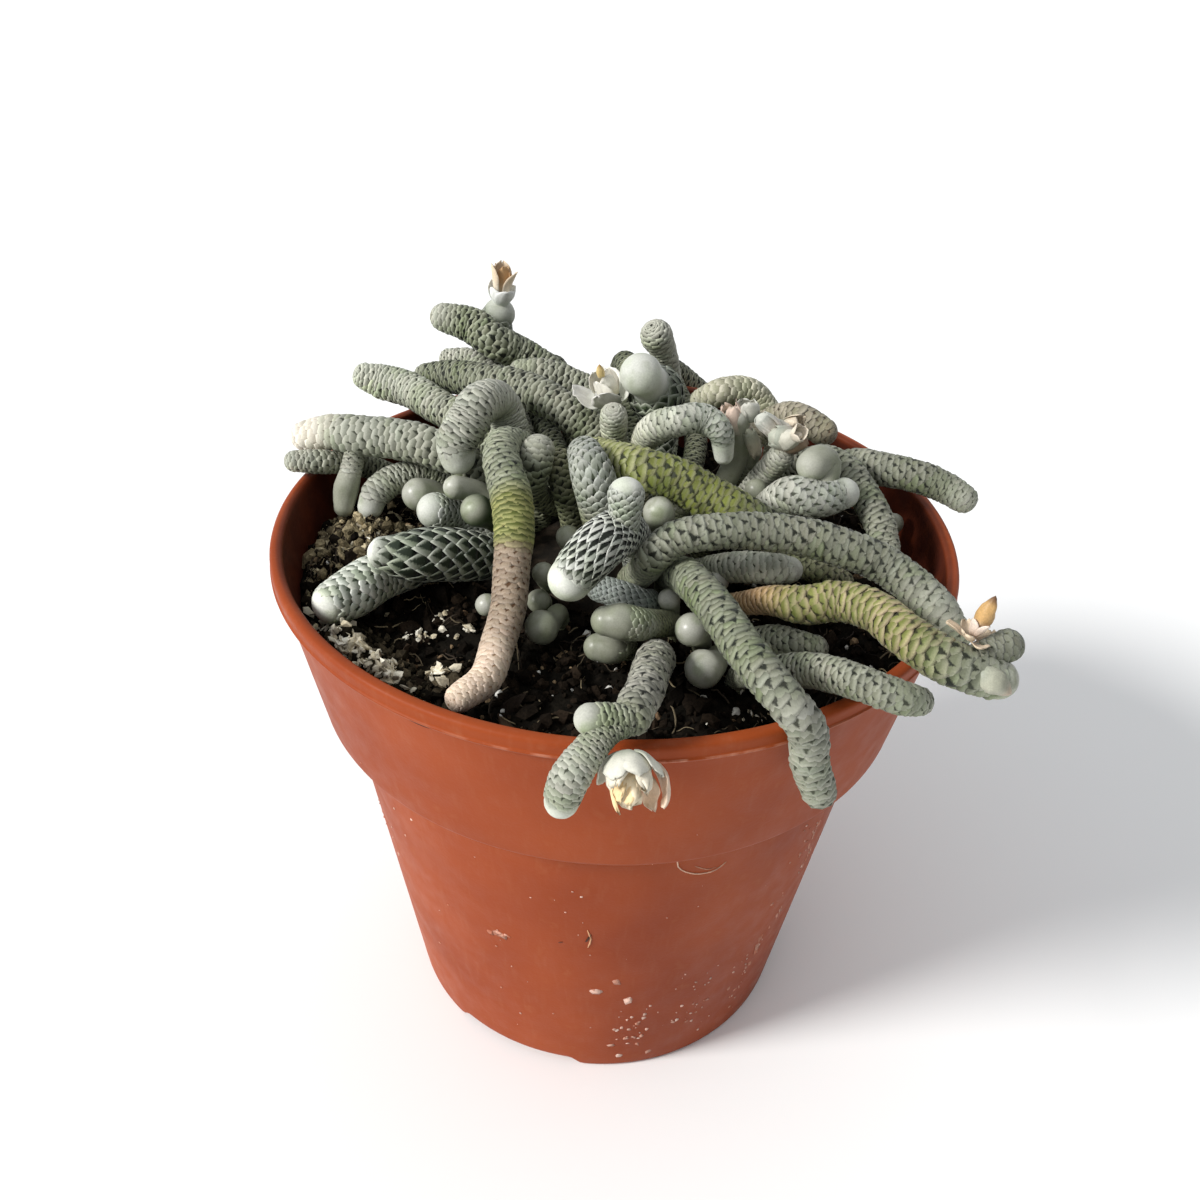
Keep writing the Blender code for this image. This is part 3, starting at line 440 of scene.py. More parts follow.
# Stems from tip to root: the record slot of the finish, the skins with the share of the way where
# each is reached (0 at the tip, 1 at the root), the fit, and the route as (x, y, z, radius). The
# fit is the room each shield has along the run, the size of its cell, how bright the stem is and
# how full beside its solid, each as a share
usual = (0.77, 1, 1, 1)
stems = {
    "stem_back_left_high": ("scaly", "oliveTan 0, greyTip 0.04, greyGreen 0.12, grey 1", usual, [
        (-31, 40, 106, 2.4), (-26, 39, 105, 2.9), (-22, 37, 103, 2.9), (-17, 38, 100, 2.8),
        (-10, 36, 96, 2.5), (-5, 28, 91, 2.2), (-3, 18, 86, 1.9), (-3, 13, 87, 1.8)]),
    "stem_back_flowering": ("net", "whiteTip 0, greenNet 0.12, greyGreen 0.6, mossy 1", usual, [
        (-22, 46, 104.5, 2.9), (-23, 46, 102, 3.3), (-22, 46, 98, 3), (-19, 44, 94, 2.7), (-13, 34, 88, 2.2),
        (-9, 24, 85, 2), (-7, 17, 85, 1.8)]),
    "stem_back_stub": ("scaly", "paleGrey 0.3, grey 1", usual, [(-31, 45, 96, 1.8), (-26, 44, 96, 2.2),
        (-20, 38, 93, 2.1), (-15, 27, 87, 1.9), (-13, 15, 85, 1.7)]),
    "stem_left_back": ("scaly", "paleSoft 0.25, grey 0.5, greyGreen 1", (0.77, 1, 1.2, 1), [
        (-44, 33, 97.5, 2.2), (-41, 33, 96.5, 2.9), (-36, 31, 96, 2.9), (-30, 25, 95.5, 2.8),
        (-23, 19, 94.5, 2.5), (-17, 14, 90, 2), (-13, 9, 86, 1.8)]),
    "stem_left_long": ("scaly", "greyTip 0, greyGreen 0.1, grey 0.6, mossy 1", (0.77, 1, 0.92, 1), [
        (-34, 37, 96, 2.3), (-29, 33, 98, 2.7), (-23, 27, 100, 2.9), (-16, 22, 101, 3), (-10, 18, 100, 2.9),
        (-4, 15, 96.5, 2.8), (0, 11, 91, 2.1), (1, 8, 89, 1.8)]),
    "stem_back_grey": ("scaly", "greyTip 0, grey 0.2, greyGreen 1", usual, [(-17, 32, 100, 2.1),
        (-13, 31, 100, 2.5), (-9, 30, 99, 2.5), (-3, 28, 96, 2.4), (0, 21, 90, 2), (1, 14, 87, 1.8)]),
    "stem_left_hooked": ("scaly", "whiteTip 0.08, wrinkled 0.17, wrinkled 0.55, greyGreen 0.75, mossy 1",
        (0.5, 1, 1, 1.07), [(-25, 7, 95.5, 2.6), (-25, 7, 98, 2.8), (-23, 8, 101, 2.9),
        (-21, 10, 103.5, 2.9), (-18, 14, 102, 2.7), (-15, 13, 96, 2.5), (-11, 5, 88, 1.9)]),
    "stem_left_rim": ("scaly", "creamTip 0.13, paleSoft 0.24, paleSoft 0.4, grey 0.66, mossy 1",
        (0.95, 1.08, 0.95, 1.03), [(-51, 16, 94.5, 2.4), (-47, 15, 95, 2.8), (-42, 13, 95.5, 3),
        (-36, 12, 96, 3), (-30, 10, 96, 2.9), (-23, 8, 93.5, 2.5), (-17, 5, 86, 1.9)]),
    "stem_left_under": ("scaly", "greyTip 0, grey 0.2, mossy 1", (0.85, 1, 1, 1), [(-52, 11, 92.5, 1.7),
        (-47, 12, 92.5, 1.9), (-42, 16, 90, 1.9), (-36, 17, 87, 1.8), (-27, 15, 84, 1.6)]),
    "shoot_left_drooping": ("scaly", "whiteTip 0.1, wrinkled 0.2, grey 0.6, mossy 1", (0.6, 1, 1, 1), [
        (-40, 8, 86.5, 2.1), (-39, 9, 88.5, 2.3), (-36, 11, 90, 2.3), (-31, 13, 89.5, 2.2),
        (-23, 12, 84.5, 1.7)]),
    "bud_left_pale": ("bud", "budWhite 0, bud 0.3, mossy 1", usual, [(-32, 8, 89.5, 2.7),
        (-29, 9, 88.5, 2.3), (-22, 8, 84.5, 1.7)]),
    "bud_left_speckled": ("net", "whiteTip 0, whiteDots 0.25, whiteDots 0.7, mossy 1", (0.77, 0.8, 1, 1), [
        (-28, 1, 90.5, 2.9), (-24, 4, 88, 2.4), (-19, 4, 84.7, 1.7)]),
    "bud_left_small": ("bud", "budWhite 0, bud 0.3, mossy 1", usual, [(-25, 3, 95, 1.9),
        (-21, 4, 92, 1.7), (-15, 3, 85, 1.5)]),
    "bud_left_green": ("bud", "budWhite 0, bud 0.1, budGreen 0.2, mossy 1", usual, [(-21, -5, 94, 2.5),
        (-19, -2, 90, 2), (-15, -1, 85, 1.6)]),
    "stem_front_left_thick": ("net", "whiteTip 0.04, whiteSoft 0.12, whiteSoft 0.5, greenNet 0.7",
        (1, 1, 1.32, 1), [(-40, -20, 87, 3.3), (-38, -17, 86.5, 3.8), (-35, -12, 85.8, 3.7),
        (-30, -8, 84.8, 3), (-26, -4, 84, 2)]),
    "stem_front_left_net": ("net", "whiteTip 0.05, whiteDots 0.1, greenNet 0.18, greenNet 0.7, mossy 1",
        (1, 1.12, 1.1, 1), [(-33, -16, 93, 2.6), (-30, -15.5, 92.5, 3.7), (-26, -13, 91.5, 4.1),
        (-21, -9, 89, 3.8), (-17, -5, 86, 2.6)]),
    "stem_front_drying": ("drying", "paleTan 0.15, driedTan 0.26, driedTan 0.395, ringGreen 0.42, "
        "ringGreen 0.5, greyGreen 0.545", (0.75, 1, 1, 1.03), [(-20, -38, 85, 2), (-17, -34, 85.3, 2.3),
        (-16, -28, 86.5, 2.4), (-15, -23, 89, 2.5), (-15, -18, 92.5, 2.6), (-15, -14, 96, 2.7),
        (-16, -9, 99, 2.8), (-18, -3, 101, 2.5), (-18, 4, 100, 2.4), (-14, 9, 95, 2.2), (-8, 10, 88, 1.8)]),
    "shoot_centre_green": ("scaly", "greyTip 0.14, greyGreen 0.3, mossy 0.5", (0.77, 1, 0.87, 1), [
        (-14, 2, 101, 2.5), (-13, 1, 98, 2.5), (-11, 3, 92, 2.2), (-8, 5, 88.5, 1.7)]),
    "shoot_centre_olive": ("olive", "oliveTan 0, mossy 0.4", usual, [(-9, 4, 98, 2.3), (-9, 2, 95, 2.3),
        (-7, 1, 89.5, 1.8)]),
    "shoot_centre_white": ("net", "whiteTip 0.05, whiteDots 0.12, whiteDots 0.45, oliveTan 0.65, mossy 1",
        (0.77, 0.72, 0.84, 1.06), [(-5, -4, 104, 2.5), (-4, -7, 103, 3), (-3, -8, 100, 3.1),
        (-2, -7, 94, 2.6), (-1, -5, 90, 1.8)]),
    "shoot_front_net": ("net", "whiteTip 0.1, whiteDots 0.16, whiteNet 0.2, whiteNet 0.85, greenNet 1",
        (1, 0.66, 1.2, 1.06), [(-6, -28, 98, 2.9), (-4, -27, 100, 3.3), (-2, -25, 101, 3.4),
        (1, -19, 99, 3.3), (3, -13, 94, 2.6), (3, -9, 89, 1.8)]),
    "shoot_front_low": ("scaly", "greyTip 0, blueNet 0.15, blueNet 0.8, mossy 1", (1, 0.55, 1, 1), [
        (-2, -19, 90.5, 2), (2, -20, 90, 2.1), (4, -19, 88, 2), (4, -15, 85.5, 1.6)]),
    "bud_front_oval": ("bud", "bud 0.2, budScaly 0.27, budScaly 0.36, mossy 0.44", (0.77, 0.6, 1.05, 1), [
        (-1, -29, 92, 2.1), (1, -29, 92, 2.6), (4, -28, 91, 2.3), (8, -23, 88, 1.8), (9, -19, 85, 1.5)]),
    "bud_front_low": ("bud", "bud 0.3, budScaly 0.5, mossy 0.8", usual, [(-2, -27, 86, 2),
        (0, -27, 86, 2.3), (2, -24, 84.5, 1.6)]),
    "stem_front_rim": ("scaly", "greyGreen 0, slitGrey 0.2, slitGrey 0.75, mossy 1", (0.84, 1.22, 0.87, 1), [
        (2.5, -52.5, 95, 2.1), (3, -50, 94.8, 2.2), (4, -46, 93.8, 2.2), (5, -38, 91, 2.3),
        (6, -31, 88, 2.3), (6, -26, 84.5, 1.7)]),
    "stem_front_right_rim": ("scaly", "paleSoft 0.2, paleGrey 0.28, greyGreen 0.38, greyGreen 0.8, mossy 1",
        (0.72, 1.35, 0.85, 1), [(27, -49, 81, 2.1), (25, -49, 86, 2.3), (24, -49, 91, 2.3),
        (22, -49, 94, 2.3), (19, -46, 96, 2.3), (16, -39, 96, 2.4), (13, -31, 96, 2.4), (10, -22, 94, 2.4),
        (9, -16, 90, 2.2), (8, -12, 86.5, 1.8)]),
    "stem_right_arch": ("scaly", "paleSoft 0.1, grey 0.22, grey 0.8, mossy 1", (0.77, 1.15, 0.95, 1), [
        (46, -30, 92.5, 2), (44, -28, 95, 2.4), (41, -25, 96.5, 2.5), (37, -22, 98, 2.5),
        (32, -21, 99.5, 2.5), (26, -20, 100.5, 2.5), (19, -20, 101, 2.4), (13, -21, 101, 2.3),
        (8, -21, 99.5, 2.3), (5, -21, 96, 2.2), (4, -17, 90, 2.1), (3, -14, 86.5, 1.8)]),
    "stem_right_golden": ("drying", "budWhite 0.05, paleSoft 0.09, greyGreen 0.18, pinkGreen 0.28, "
        "pinkGreen 0.62, gold 0.72, gold 0.8, driedTan 0.88", (0.74, 1.2, 0.96, 1), [(49, -41, 94, 2.6),
        (46, -41, 95, 2.7), (42, -40, 96, 2.8), (38, -36, 96.5, 2.7), (35, -31, 96.5, 2.6),
        (31, -27, 95.5, 2.6), (26, -26, 94, 2.5), (22, -23, 92.5, 2), (18, -19, 89, 1.6),
        (14, -14, 85, 1.5)]),
    "stem_right_low_rim": ("scaly", "paleSoft 0.12, grey 0.26, grey 0.8, mossy 1", usual, [
        (39, -43, 91.5, 1.8), (36, -44, 93, 2.1), (32, -43, 94, 2.1), (28, -40, 93.5, 2.2),
        (24, -36, 91.5, 2.2), (19, -32, 88, 2), (16, -28, 84.5, 1.6)]),
    "shoot_right_low": ("scaly", "paleSoft 0, grey 0.3, mossy 1", usual, [(28, -28, 88, 1.8),
        (25, -28, 89, 1.9), (22, -26, 88.5, 1.9), (18, -22, 85, 1.6)]),
    "shoot_right_inner": ("scaly", "budWhite 0.1, paleSoft 0.2, paleSoft 0.45, grey 0.7, mossy 1",
        (0.77, 1, 1.15, 1), [(25, -16, 93, 2), (22, -16, 93, 2.2), (17, -14, 91.5, 2.1), (12, -9, 87, 1.6)]),
    "shoot_right_tan": ("olive", "oliveTan 0, mossy 0.5", usual, [(34, -11, 88, 1.7),
        (31, -11, 89.5, 1.9), (27, -9, 89.5, 1.9), (22, -7, 87, 1.7), (17, -5, 85, 1.5)]),
    "stem_centre_yellow": ("olive", "paleGrey 0, greyGreen 0.1, yellowGreen 0.22, yellowGreen 0.9, mossy 1",
        (0.7, 1.2, 1, 1), [(24, -5, 95, 2.2), (19, -6, 98, 2.8), (14, -5, 100, 3), (10, -4, 102, 2.9),
        (5, -3, 103, 2.8), (1, 1, 102, 2.7), (-3, 8, 99, 2.4), (-5, 9, 94, 2.1), (-4, 7, 89.5, 1.7)]),
    "stem_centre_curled": ("scaly", "whiteTip 0.07, whiteSoft 0.15, paleGrey 0.5, oliveTan 0.8, mossy 1",
        (0.6, 1, 1.18, 1), [(16, 3, 101, 1.5), (15, 3, 105, 2), (12, 4, 106.5, 2.3), (9, 3, 106.5, 2.2),
        (5, 4, 104.5, 2.3), (3, 7, 99, 1.9), (3, 5, 89.5, 1.7)]),
    "shoot_back_upright": ("scaly", "paleGrey 0.3, grey 1", usual, [(6, 38, 105, 2.7), (8, 40, 100, 2),
        (9, 42, 94, 2), (9, 36, 88, 1.9), (8, 26, 85, 1.9), (6, 16, 85, 1.7)]),
    "shoot_back_net": ("net", "whiteTip 0.22, darkNet 0.27, darkNet 0.7, greenNet 1", (1, 0.85, 0.86, 1), [
        (3, 11, 110, 3.4), (5, 14, 106, 4.6), (6, 17, 101, 4), (6, 16, 95, 2.6), (4, 11, 88, 2)]),
    "bud_centre_back": ("scaly", "greyTip 0, paleGrey 0.2, oliveTan 0.5, mossy 1", usual, [
        (-1, 6, 105, 2), (-1, 7, 101, 2), (0, 8, 95, 1.7), (-1, 5, 90, 1.5)]),
    "stem_back_right": ("olive", "straw 0.6, mossy 1", usual, [(14, 28, 98, 2), (17, 27, 100, 2.4),
        (21, 28, 100, 2.4), (24, 28, 98, 2.3), (27, 25, 93, 2.2), (25, 18, 87, 2), (19, 13, 84.5, 1.7)]),
    "stem_back_right_tan": ("olive", "driedTan 0, tanDots 0.12, tanDots 0.6, mossy 1", (0.77, 1, 0.78, 1), [
        (33, 16, 99, 2.3), (30, 18, 100, 2.4), (27, 21, 99, 2.3), (23, 22, 95, 2.2), (18, 16, 88, 2),
        (14, 11, 85, 1.7)]),
    "shoot_cluster_left": ("bud", "budWhite 0, bud 0.3, mossy 1", usual, [(18, 9, 104, 2.1),
        (19, 10, 98, 1.9), (16, 9, 90, 1.8), (10, 7, 87.5, 1.6)]),
    "shoot_cluster_right": ("scaly", "greyTip 0, paleGrey 0.4, mossy 1", usual, [(25, 5, 100, 2),
        (23, 6, 96, 1.9), (19, 5, 90, 1.8), (13, 3, 86.5, 1.6)]),
    "shoot_right_white": ("net", "whiteTip 0, whiteDots 0.2, paleGrey 0.5, mossy 1", (0.77, 0.85, 1, 1), [
        (34, -2, 98, 2.4), (30, -4, 97.5, 2.8), (26, -3, 97, 2.9), (22, -1, 91.5, 2.4), (18, 0, 87, 2),
        (14, -1, 85.5, 1.7)]),
    "stem_far_right_rim": ("scaly", "paleSoft 0.05, grey 0.18, grey 0.8, mossy 1", (0.77, 1, 0.92, 1), [
        (54, 4, 94.5, 2.1), (51, 6, 95.5, 2.3), (47, 7, 96.5, 2.4), (42, 9, 96.5, 2.5), (38, 12, 95.5, 2.5),
        (33, 14, 92.5, 2.3), (26, 14, 88, 2), (19, 10, 84.7, 1.7)]),
    "stem_right_back": ("scaly", "paleGrey 0, grey 0.15", usual, [(41, -6, 91, 1.9), (40, -3, 93.5, 2.2),
        (38, 1, 96, 2.3), (35, 6, 98, 2.4), (31, 10, 97, 2.3), (25, 10, 91, 2), (18, 7, 85, 1.7)]),
    "bud_centre_grey": ("bud", "budWhite 0, bud 0.3, mossy 1", usual, [(7, -7, 100, 2.4),
        (7, -6, 95, 1.9), (6, -4, 89.5, 1.5)]),
    "bud_front_round": ("bud", "budWhite 0, bud 0.4, mossy 1", usual, [(9, -26, 89, 2.4),
        (11, -24, 87, 1.7), (13, -21, 84.5, 1.5)]),
    # its brightness of 1.15 is painted light: the bud's colour is lifted to stand for the highlight it
    # catches
    "bud_front_shiny": ("bud", "budWhite 0, bud 0.4, mossy 1", (0.77, 1, 1.15, 1), [(12, -29, 86.5, 2.8),
        (14, -27, 85.5, 1.8), (15, -24, 84, 1.5)]),
    "bud_front_soil": ("bud", "bud 0.5, mossy 1", usual, [(-10, -22, 85.5, 2.6), (-9, -20, 85, 1.7),
        (-8, -17, 84.5, 1.5)]),
    "stem_rear_left": ("scaly", "greyTip 0, grey 0.08, mossy 1", usual, [(-27, 49, 75, 2.2),
        (-23, 51, 81, 2.4), (-18, 53.5, 87.5, 2.3), (-13, 51, 92.6, 2.1), (-11, 44, 92.5, 2.1),
        (-8, 34, 87, 2), (-5, 22, 84.5, 1.8)]),
    "stem_rear_middle": ("scaly", "greyTip 0, greyGreen 0.08, mossy 1", usual, [(-2, 55, 68, 2.3),
        (-2, 55.5, 76, 2.6), (0, 55.8, 85, 2.5), (1, 52, 92.6, 2.3), (2, 43, 92, 2.2), (3, 31, 86, 2),
        (2, 20, 84.7, 1.7)]),
    "stem_rear_right": ("scaly", "greyTip 0, grey 0.08, mossy 1", usual, [(25, 49, 79, 2.1),
        (20, 52, 83, 2.3), (14, 54.5, 87.5, 2.3), (9, 51, 92.6, 2.1), (10, 47, 91, 2), (14, 36, 87, 2),
        (12, 20, 84.5, 1.7)]),
}

# Branches: the stem whose piece each belongs to, then its skins, fit and route
branches = {
    "hanging_bud": ("stem_left_rim", "budWhite 0, bud 0.12, bud 0.5, paleGrey 0.8, grey 1", usual, [
        (-44, 8, 86, 1.6), (-44, 10, 89, 2.1), (-43, 12, 93, 1.6)]),
    "top_bud": ("shoot_front_net", "whiteTip 0.12, whiteDots 0.25, whiteDots 0.6, greenNet 1",
        (1, 0.62, 1, 1), [(1, -21, 107, 2.6), (1, -21, 104, 2.2), (1, -20, 101, 2.2)]),
    "left_tip": ("stem_front_rim", "budWhite 0.3, greyGreen 0.55, grey 1", usual, [(-2.5, -54.5, 96, 2),
        (1.5, -53.5, 95.3, 1.8)]),
    "hanging_tip": ("stem_front_rim", "whiteTip 0.16, paleSoft 0.26, paleSoft 0.5, grey 0.75, greyGreen 1",
        (0.77, 0.8, 1, 1), [(-5.5, -60, 88, 2.1), (-4.5, -59.5, 91.5, 2.3), (-1, -55.5, 94.6, 1.8),
        (1.5, -53.5, 95, 1.8)]),
    "twin_tip": ("stem_right_golden", "budGrey 0.1, budScaly 0.25, budScaly 0.6, grey 1",
        (0.77, 1, 0.8, 0.88), [(50, -38.5, 97.5, 2.5), (46, -40, 96.5, 2)]),
    "oval_bud": ("shoot_right_white", "budWhite 0, bud 0.3", usual, [(29, -1, 102, 2.5),
        (31, 1, 101.5, 2.6), (31, -3, 98, 1.8)]),
}

# Skins: the colours of a shield's edge, of its body and of the stem between the shields (gap), the
# gap's near black being the stem's own dark green with painted shade of the hollows between the
# shields; then how far its foot is sunk, the lift of its tip, the bulge of its middle, its half
# width, how far its sides fall behind the tip (drop) and how sharp the tip is (point), all in
# cells; the length and half width of the window behind it, which shows the gap colour; whether it
# is bare, with no shields; how much it greens and darkens where it faces down, partly painted
# shade on the undersides and partly scales less bleached there; and how much of the gap's colour
# its foot takes as painted shade under the tips of the shields before it (shade)
skinChannels = ("edge", "body", "gap", "sink", "lift", "bulge", "wide", "drop", "point", "long", "broad",
                "bare", "green", "shade")
skins = {
    "grey": ((0.42, 0.425, 0.345), (0.245, 0.25, 0.182), (0.012, 0.014, 0.008), 0.19, 0.1, 0.27, 1.27, 0.37,
        2.0, 0.64, 0.41, 0, 0.7, 0.66),
    "greyGreen": ((0.39, 0.405, 0.31), (0.21, 0.225, 0.14), (0.009, 0.012, 0.006), 0.19, 0.1, 0.27, 1.27,
        0.37, 2.0, 0.7, 0.44, 0, 0.9, 0.74),
    "paleGrey": ((0.54, 0.535, 0.455), (0.39, 0.39, 0.32), (0.035, 0.036, 0.025), 0.16, 0.08, 0.24, 1.26,
        0.38, 1.9, 0.52, 0.34, 0, 0.5, 0.5),
    "wrinkled": ((0.52, 0.52, 0.45), (0.36, 0.365, 0.295), (0.03, 0.032, 0.021), 0.16, 0.08, 0.26, 1.3, 0.36,
        2.0, 0.5, 0.5, 0, 0.4, 0.64),
    "mossy": ((0.24, 0.245, 0.15), (0.13, 0.14, 0.07), (0.01, 0.013, 0.005), 0.13, 0.07, 0.17, 1.0, 0.5, 1.8,
        0.6, 0.4, 0, 0.6, 0.7),
    "creamTip": ((0.9, 0.84, 0.74), (0.84, 0.78, 0.675), (0.36, 0.3, 0.22), 0.08, 0.04, 0.14, 1.0, 0.45, 2.0,
        0.2, 0.1, 0, 0.1, 0.4),
    "greyTip": ((0.54, 0.535, 0.455), (0.45, 0.45, 0.375), (0.12, 0.12, 0.09), 0.05, 0.025, 0.12, 1.0, 0.45,
        2.0, 0.24, 0.16, 0, 0.5, 0.42),
    "paleSoft": ((0.52, 0.52, 0.44), (0.375, 0.385, 0.31), (0.05, 0.055, 0.035), 0.15, 0.08, 0.24, 1.28,
        0.37, 2.0, 0.44, 0.34, 0, 0.6, 0.5),
    "slitGrey": ((0.45, 0.435, 0.37), (0.31, 0.3, 0.24), (0.01, 0.01, 0.006), 0.16, 0.1, 0.3, 1.1, 0.38, 2.2,
        0.74, 0.46, 0, 0.4, 0.5),
    "whiteTip": ((0.72, 0.72, 0.66), (0.68, 0.685, 0.62), (0.32, 0.33, 0.27), 0.03, 0.01, 0.03, 1.0, 0.4,
        2.2, 0.15, 0.08, 1, 0.45, 0.42),
    "whiteNet": ((0.62, 0.63, 0.575), (0.53, 0.545, 0.485), (0.009, 0.013, 0.007), 0.08, 0.04, 0.06, 0.78,
        0.68, 1.2, 0.68, 0.43, 0, 0.4, 0.42),
    "whiteDots": ((0.54, 0.55, 0.5), (0.46, 0.475, 0.415), (0.05, 0.062, 0.036), 0.04, 0.02, 0.08, 0.92,
        0.52, 1.6, 0.5, 0.28, 0, 0.5, 0.6),
    "whiteSoft": ((0.6, 0.61, 0.55), (0.53, 0.55, 0.48), (0.045, 0.062, 0.034), 0.03, 0.012, 0.07, 1.0, 0.5,
        1.7, 0.42, 0.28, 0, 0.7, 0.9),
    "greenNet": ((0.36, 0.38, 0.32), (0.2, 0.225, 0.165), (0.014, 0.024, 0.011), 0.07, 0.035, 0.06, 0.8,
        0.66, 1.2, 0.74, 0.52, 0, 0.4, 0.42),
    "darkNet": ((0.42, 0.44, 0.36), (0.06, 0.085, 0.04), (0.018, 0.028, 0.012), 0.07, 0.04, 0.05, 0.9, 0.62,
        1.2, 0.5, 0.5, 0, 0.3, 0.42),
    "blueNet": ((0.38, 0.41, 0.38), (0.27, 0.3, 0.27), (0.03, 0.036, 0.03), 0.06, 0.03, 0.08, 0.9, 0.55, 1.5,
        0.38, 0.26, 0, 0.3, 0.42),
    "yellowGreen": ((0.53, 0.52, 0.33), (0.225, 0.25, 0.045), (0.016, 0.02, 0.004), 0.22, 0.1, 0.36, 1.15,
        0.42, 2.2, 0.6, 0.4, 0, 0.7, 0.68),
    "ringGreen": ((0.5, 0.48, 0.2), (0.115, 0.135, 0.025), (0.02, 0.024, 0.005), 0.14, 0.1, 0.22, 1.5, 0.3,
        2.0, 0.2, 0.2, 0, 0.5, 0.75),
    "driedTan": ((0.42, 0.335, 0.26), (0.345, 0.265, 0.19), (0.09, 0.042, 0.016), 0.035, 0.015, 0.08, 1.1,
        0.45, 1.9, 0.46, 0.34, 0, 0, 0.42),
    "paleTan": ((0.82, 0.68, 0.55), (0.76, 0.6, 0.46), (0.3, 0.17, 0.08), 0.03, 0.01, 0.06, 1.1, 0.45, 1.9,
        0.34, 0.26, 0, 0, 0.42),
    "gold": ((0.62, 0.44, 0.27), (0.46, 0.27, 0.12), (0.08, 0.04, 0.01), 0.1, 0.06, 0.18, 1.05, 0.45, 1.9,
        0.34, 0.26, 0, 0, 0.6),
    "pinkGreen": ((0.53, 0.42, 0.28), (0.225, 0.245, 0.062), (0.03, 0.03, 0.008), 0.14, 0.1, 0.22, 1.05,
        0.42, 2.0, 0.5, 0.36, 0, 0.6, 0.55),
    "oliveTan": ((0.5, 0.47, 0.33), (0.3, 0.29, 0.16), (0.022, 0.022, 0.008), 0.13, 0.07, 0.17, 1.0, 0.48,
        1.8, 0.6, 0.4, 0, 0.8, 0.6),
    "straw": ((0.58, 0.55, 0.44), (0.42, 0.41, 0.29), (0.11, 0.105, 0.06), 0.07, 0.04, 0.12, 1.05, 0.46, 1.9,
        0.3, 0.22, 0, 0.5, 0.5),
    "tanDots": ((0.56, 0.5, 0.39), (0.42, 0.385, 0.275), (0.07, 0.05, 0.03), 0.08, 0.04, 0.12, 1.05, 0.46,
        1.9, 0.4, 0.34, 0, 0.5, 0.5),
    "budGrey": ((0.24, 0.265, 0.245), (0.19, 0.215, 0.195), (0.1, 0.11, 0.09), 0.025, 0.005, 0.012, 1.0,
        0.35, 2.2, 0.12, 0.06, 1, 0.3, 0.42),
    "bud": ((0.33, 0.335, 0.27), (0.3, 0.305, 0.24), (0.2, 0.2, 0.15), 0.025, 0.005, 0.012, 1.0, 0.35, 2.2,
        0.12, 0.06, 1, 0.45, 0.42),
    "budScaly": ((0.35, 0.355, 0.29), (0.27, 0.275, 0.21), (0.07, 0.075, 0.045), 0.06, 0.025, 0.09, 1.0,
        0.48, 1.9, 0.34, 0.24, 0, 1.0, 0.42),
    "budWhite": ((0.54, 0.54, 0.475), (0.5, 0.5, 0.435), (0.3, 0.3, 0.25), 0.025, 0.005, 0.012, 1.0, 0.35,
        2.2, 0.12, 0.06, 1, 0.9, 0.42),
    "budGreen": ((0.1, 0.14, 0.075), (0.055, 0.085, 0.034), (0.025, 0.035, 0.012), 0.03, 0.01, 0.02, 1.0,
        0.35, 2.2, 0.12, 0.06, 1, 0.6, 0.42),
}

# Waists: the place along the route, its width and its depth, as shares
waists = {"shoot_back_net": (0.11, 0.06, 0.32)}

shieldSpec = {"cell": 0.663, "rise": 0.07, "smallest": 0.13, "seat": 0.97, "core": 0.90,
              "ahead": 0.76, "behind": 0.62, "jitter": 0.05,
              "rows": (0, 0.3, 0.58, 0.82, 1), "columns": (-1, -0.55, 0, 0.55, 1),
              "fullRadius": 2.4, "ring": 0.5, "sides": 32, "fine": 0.35, "domeRows": 12,
              "windowFoot": 0.12, "windowSide": -0.12, "underShadeGreen": (0.60, 0.72, 0.44),
              "mottled": (0.66, 0.69, 0.58), "dropSpread": 0.08, "liftSpread": 0.3, "tintSpread": 0.08,
              "hueSpread": 0.008, "windowSpread": 0.15, "footShade": (0.5, 1.3)}


def readZones(words):
    # skins and shares in words, as pairs of share and skin
    return [(float(share), skin) for skin, share in (zone.split() for zone in words.split(","))]


def skinAlong(zones, fraction):
    # every skin channel at each fraction of the length, blended between the named zones
    rows = np.array([np.hstack(skins[skin]) for _, skin in zones])
    places = [place for place, _ in zones]
    flat = np.stack([np.interp(fraction, places, rows[:, k]) for k in range(rows.shape[1])], axis=-1)
    skin = {"edge": flat[..., 0:3], "body": flat[..., 3:6], "gap": flat[..., 6:9]}
    skin.update({c: flat[..., 9 + k] for k, c in enumerate(skinChannels[3:])})
    return skin


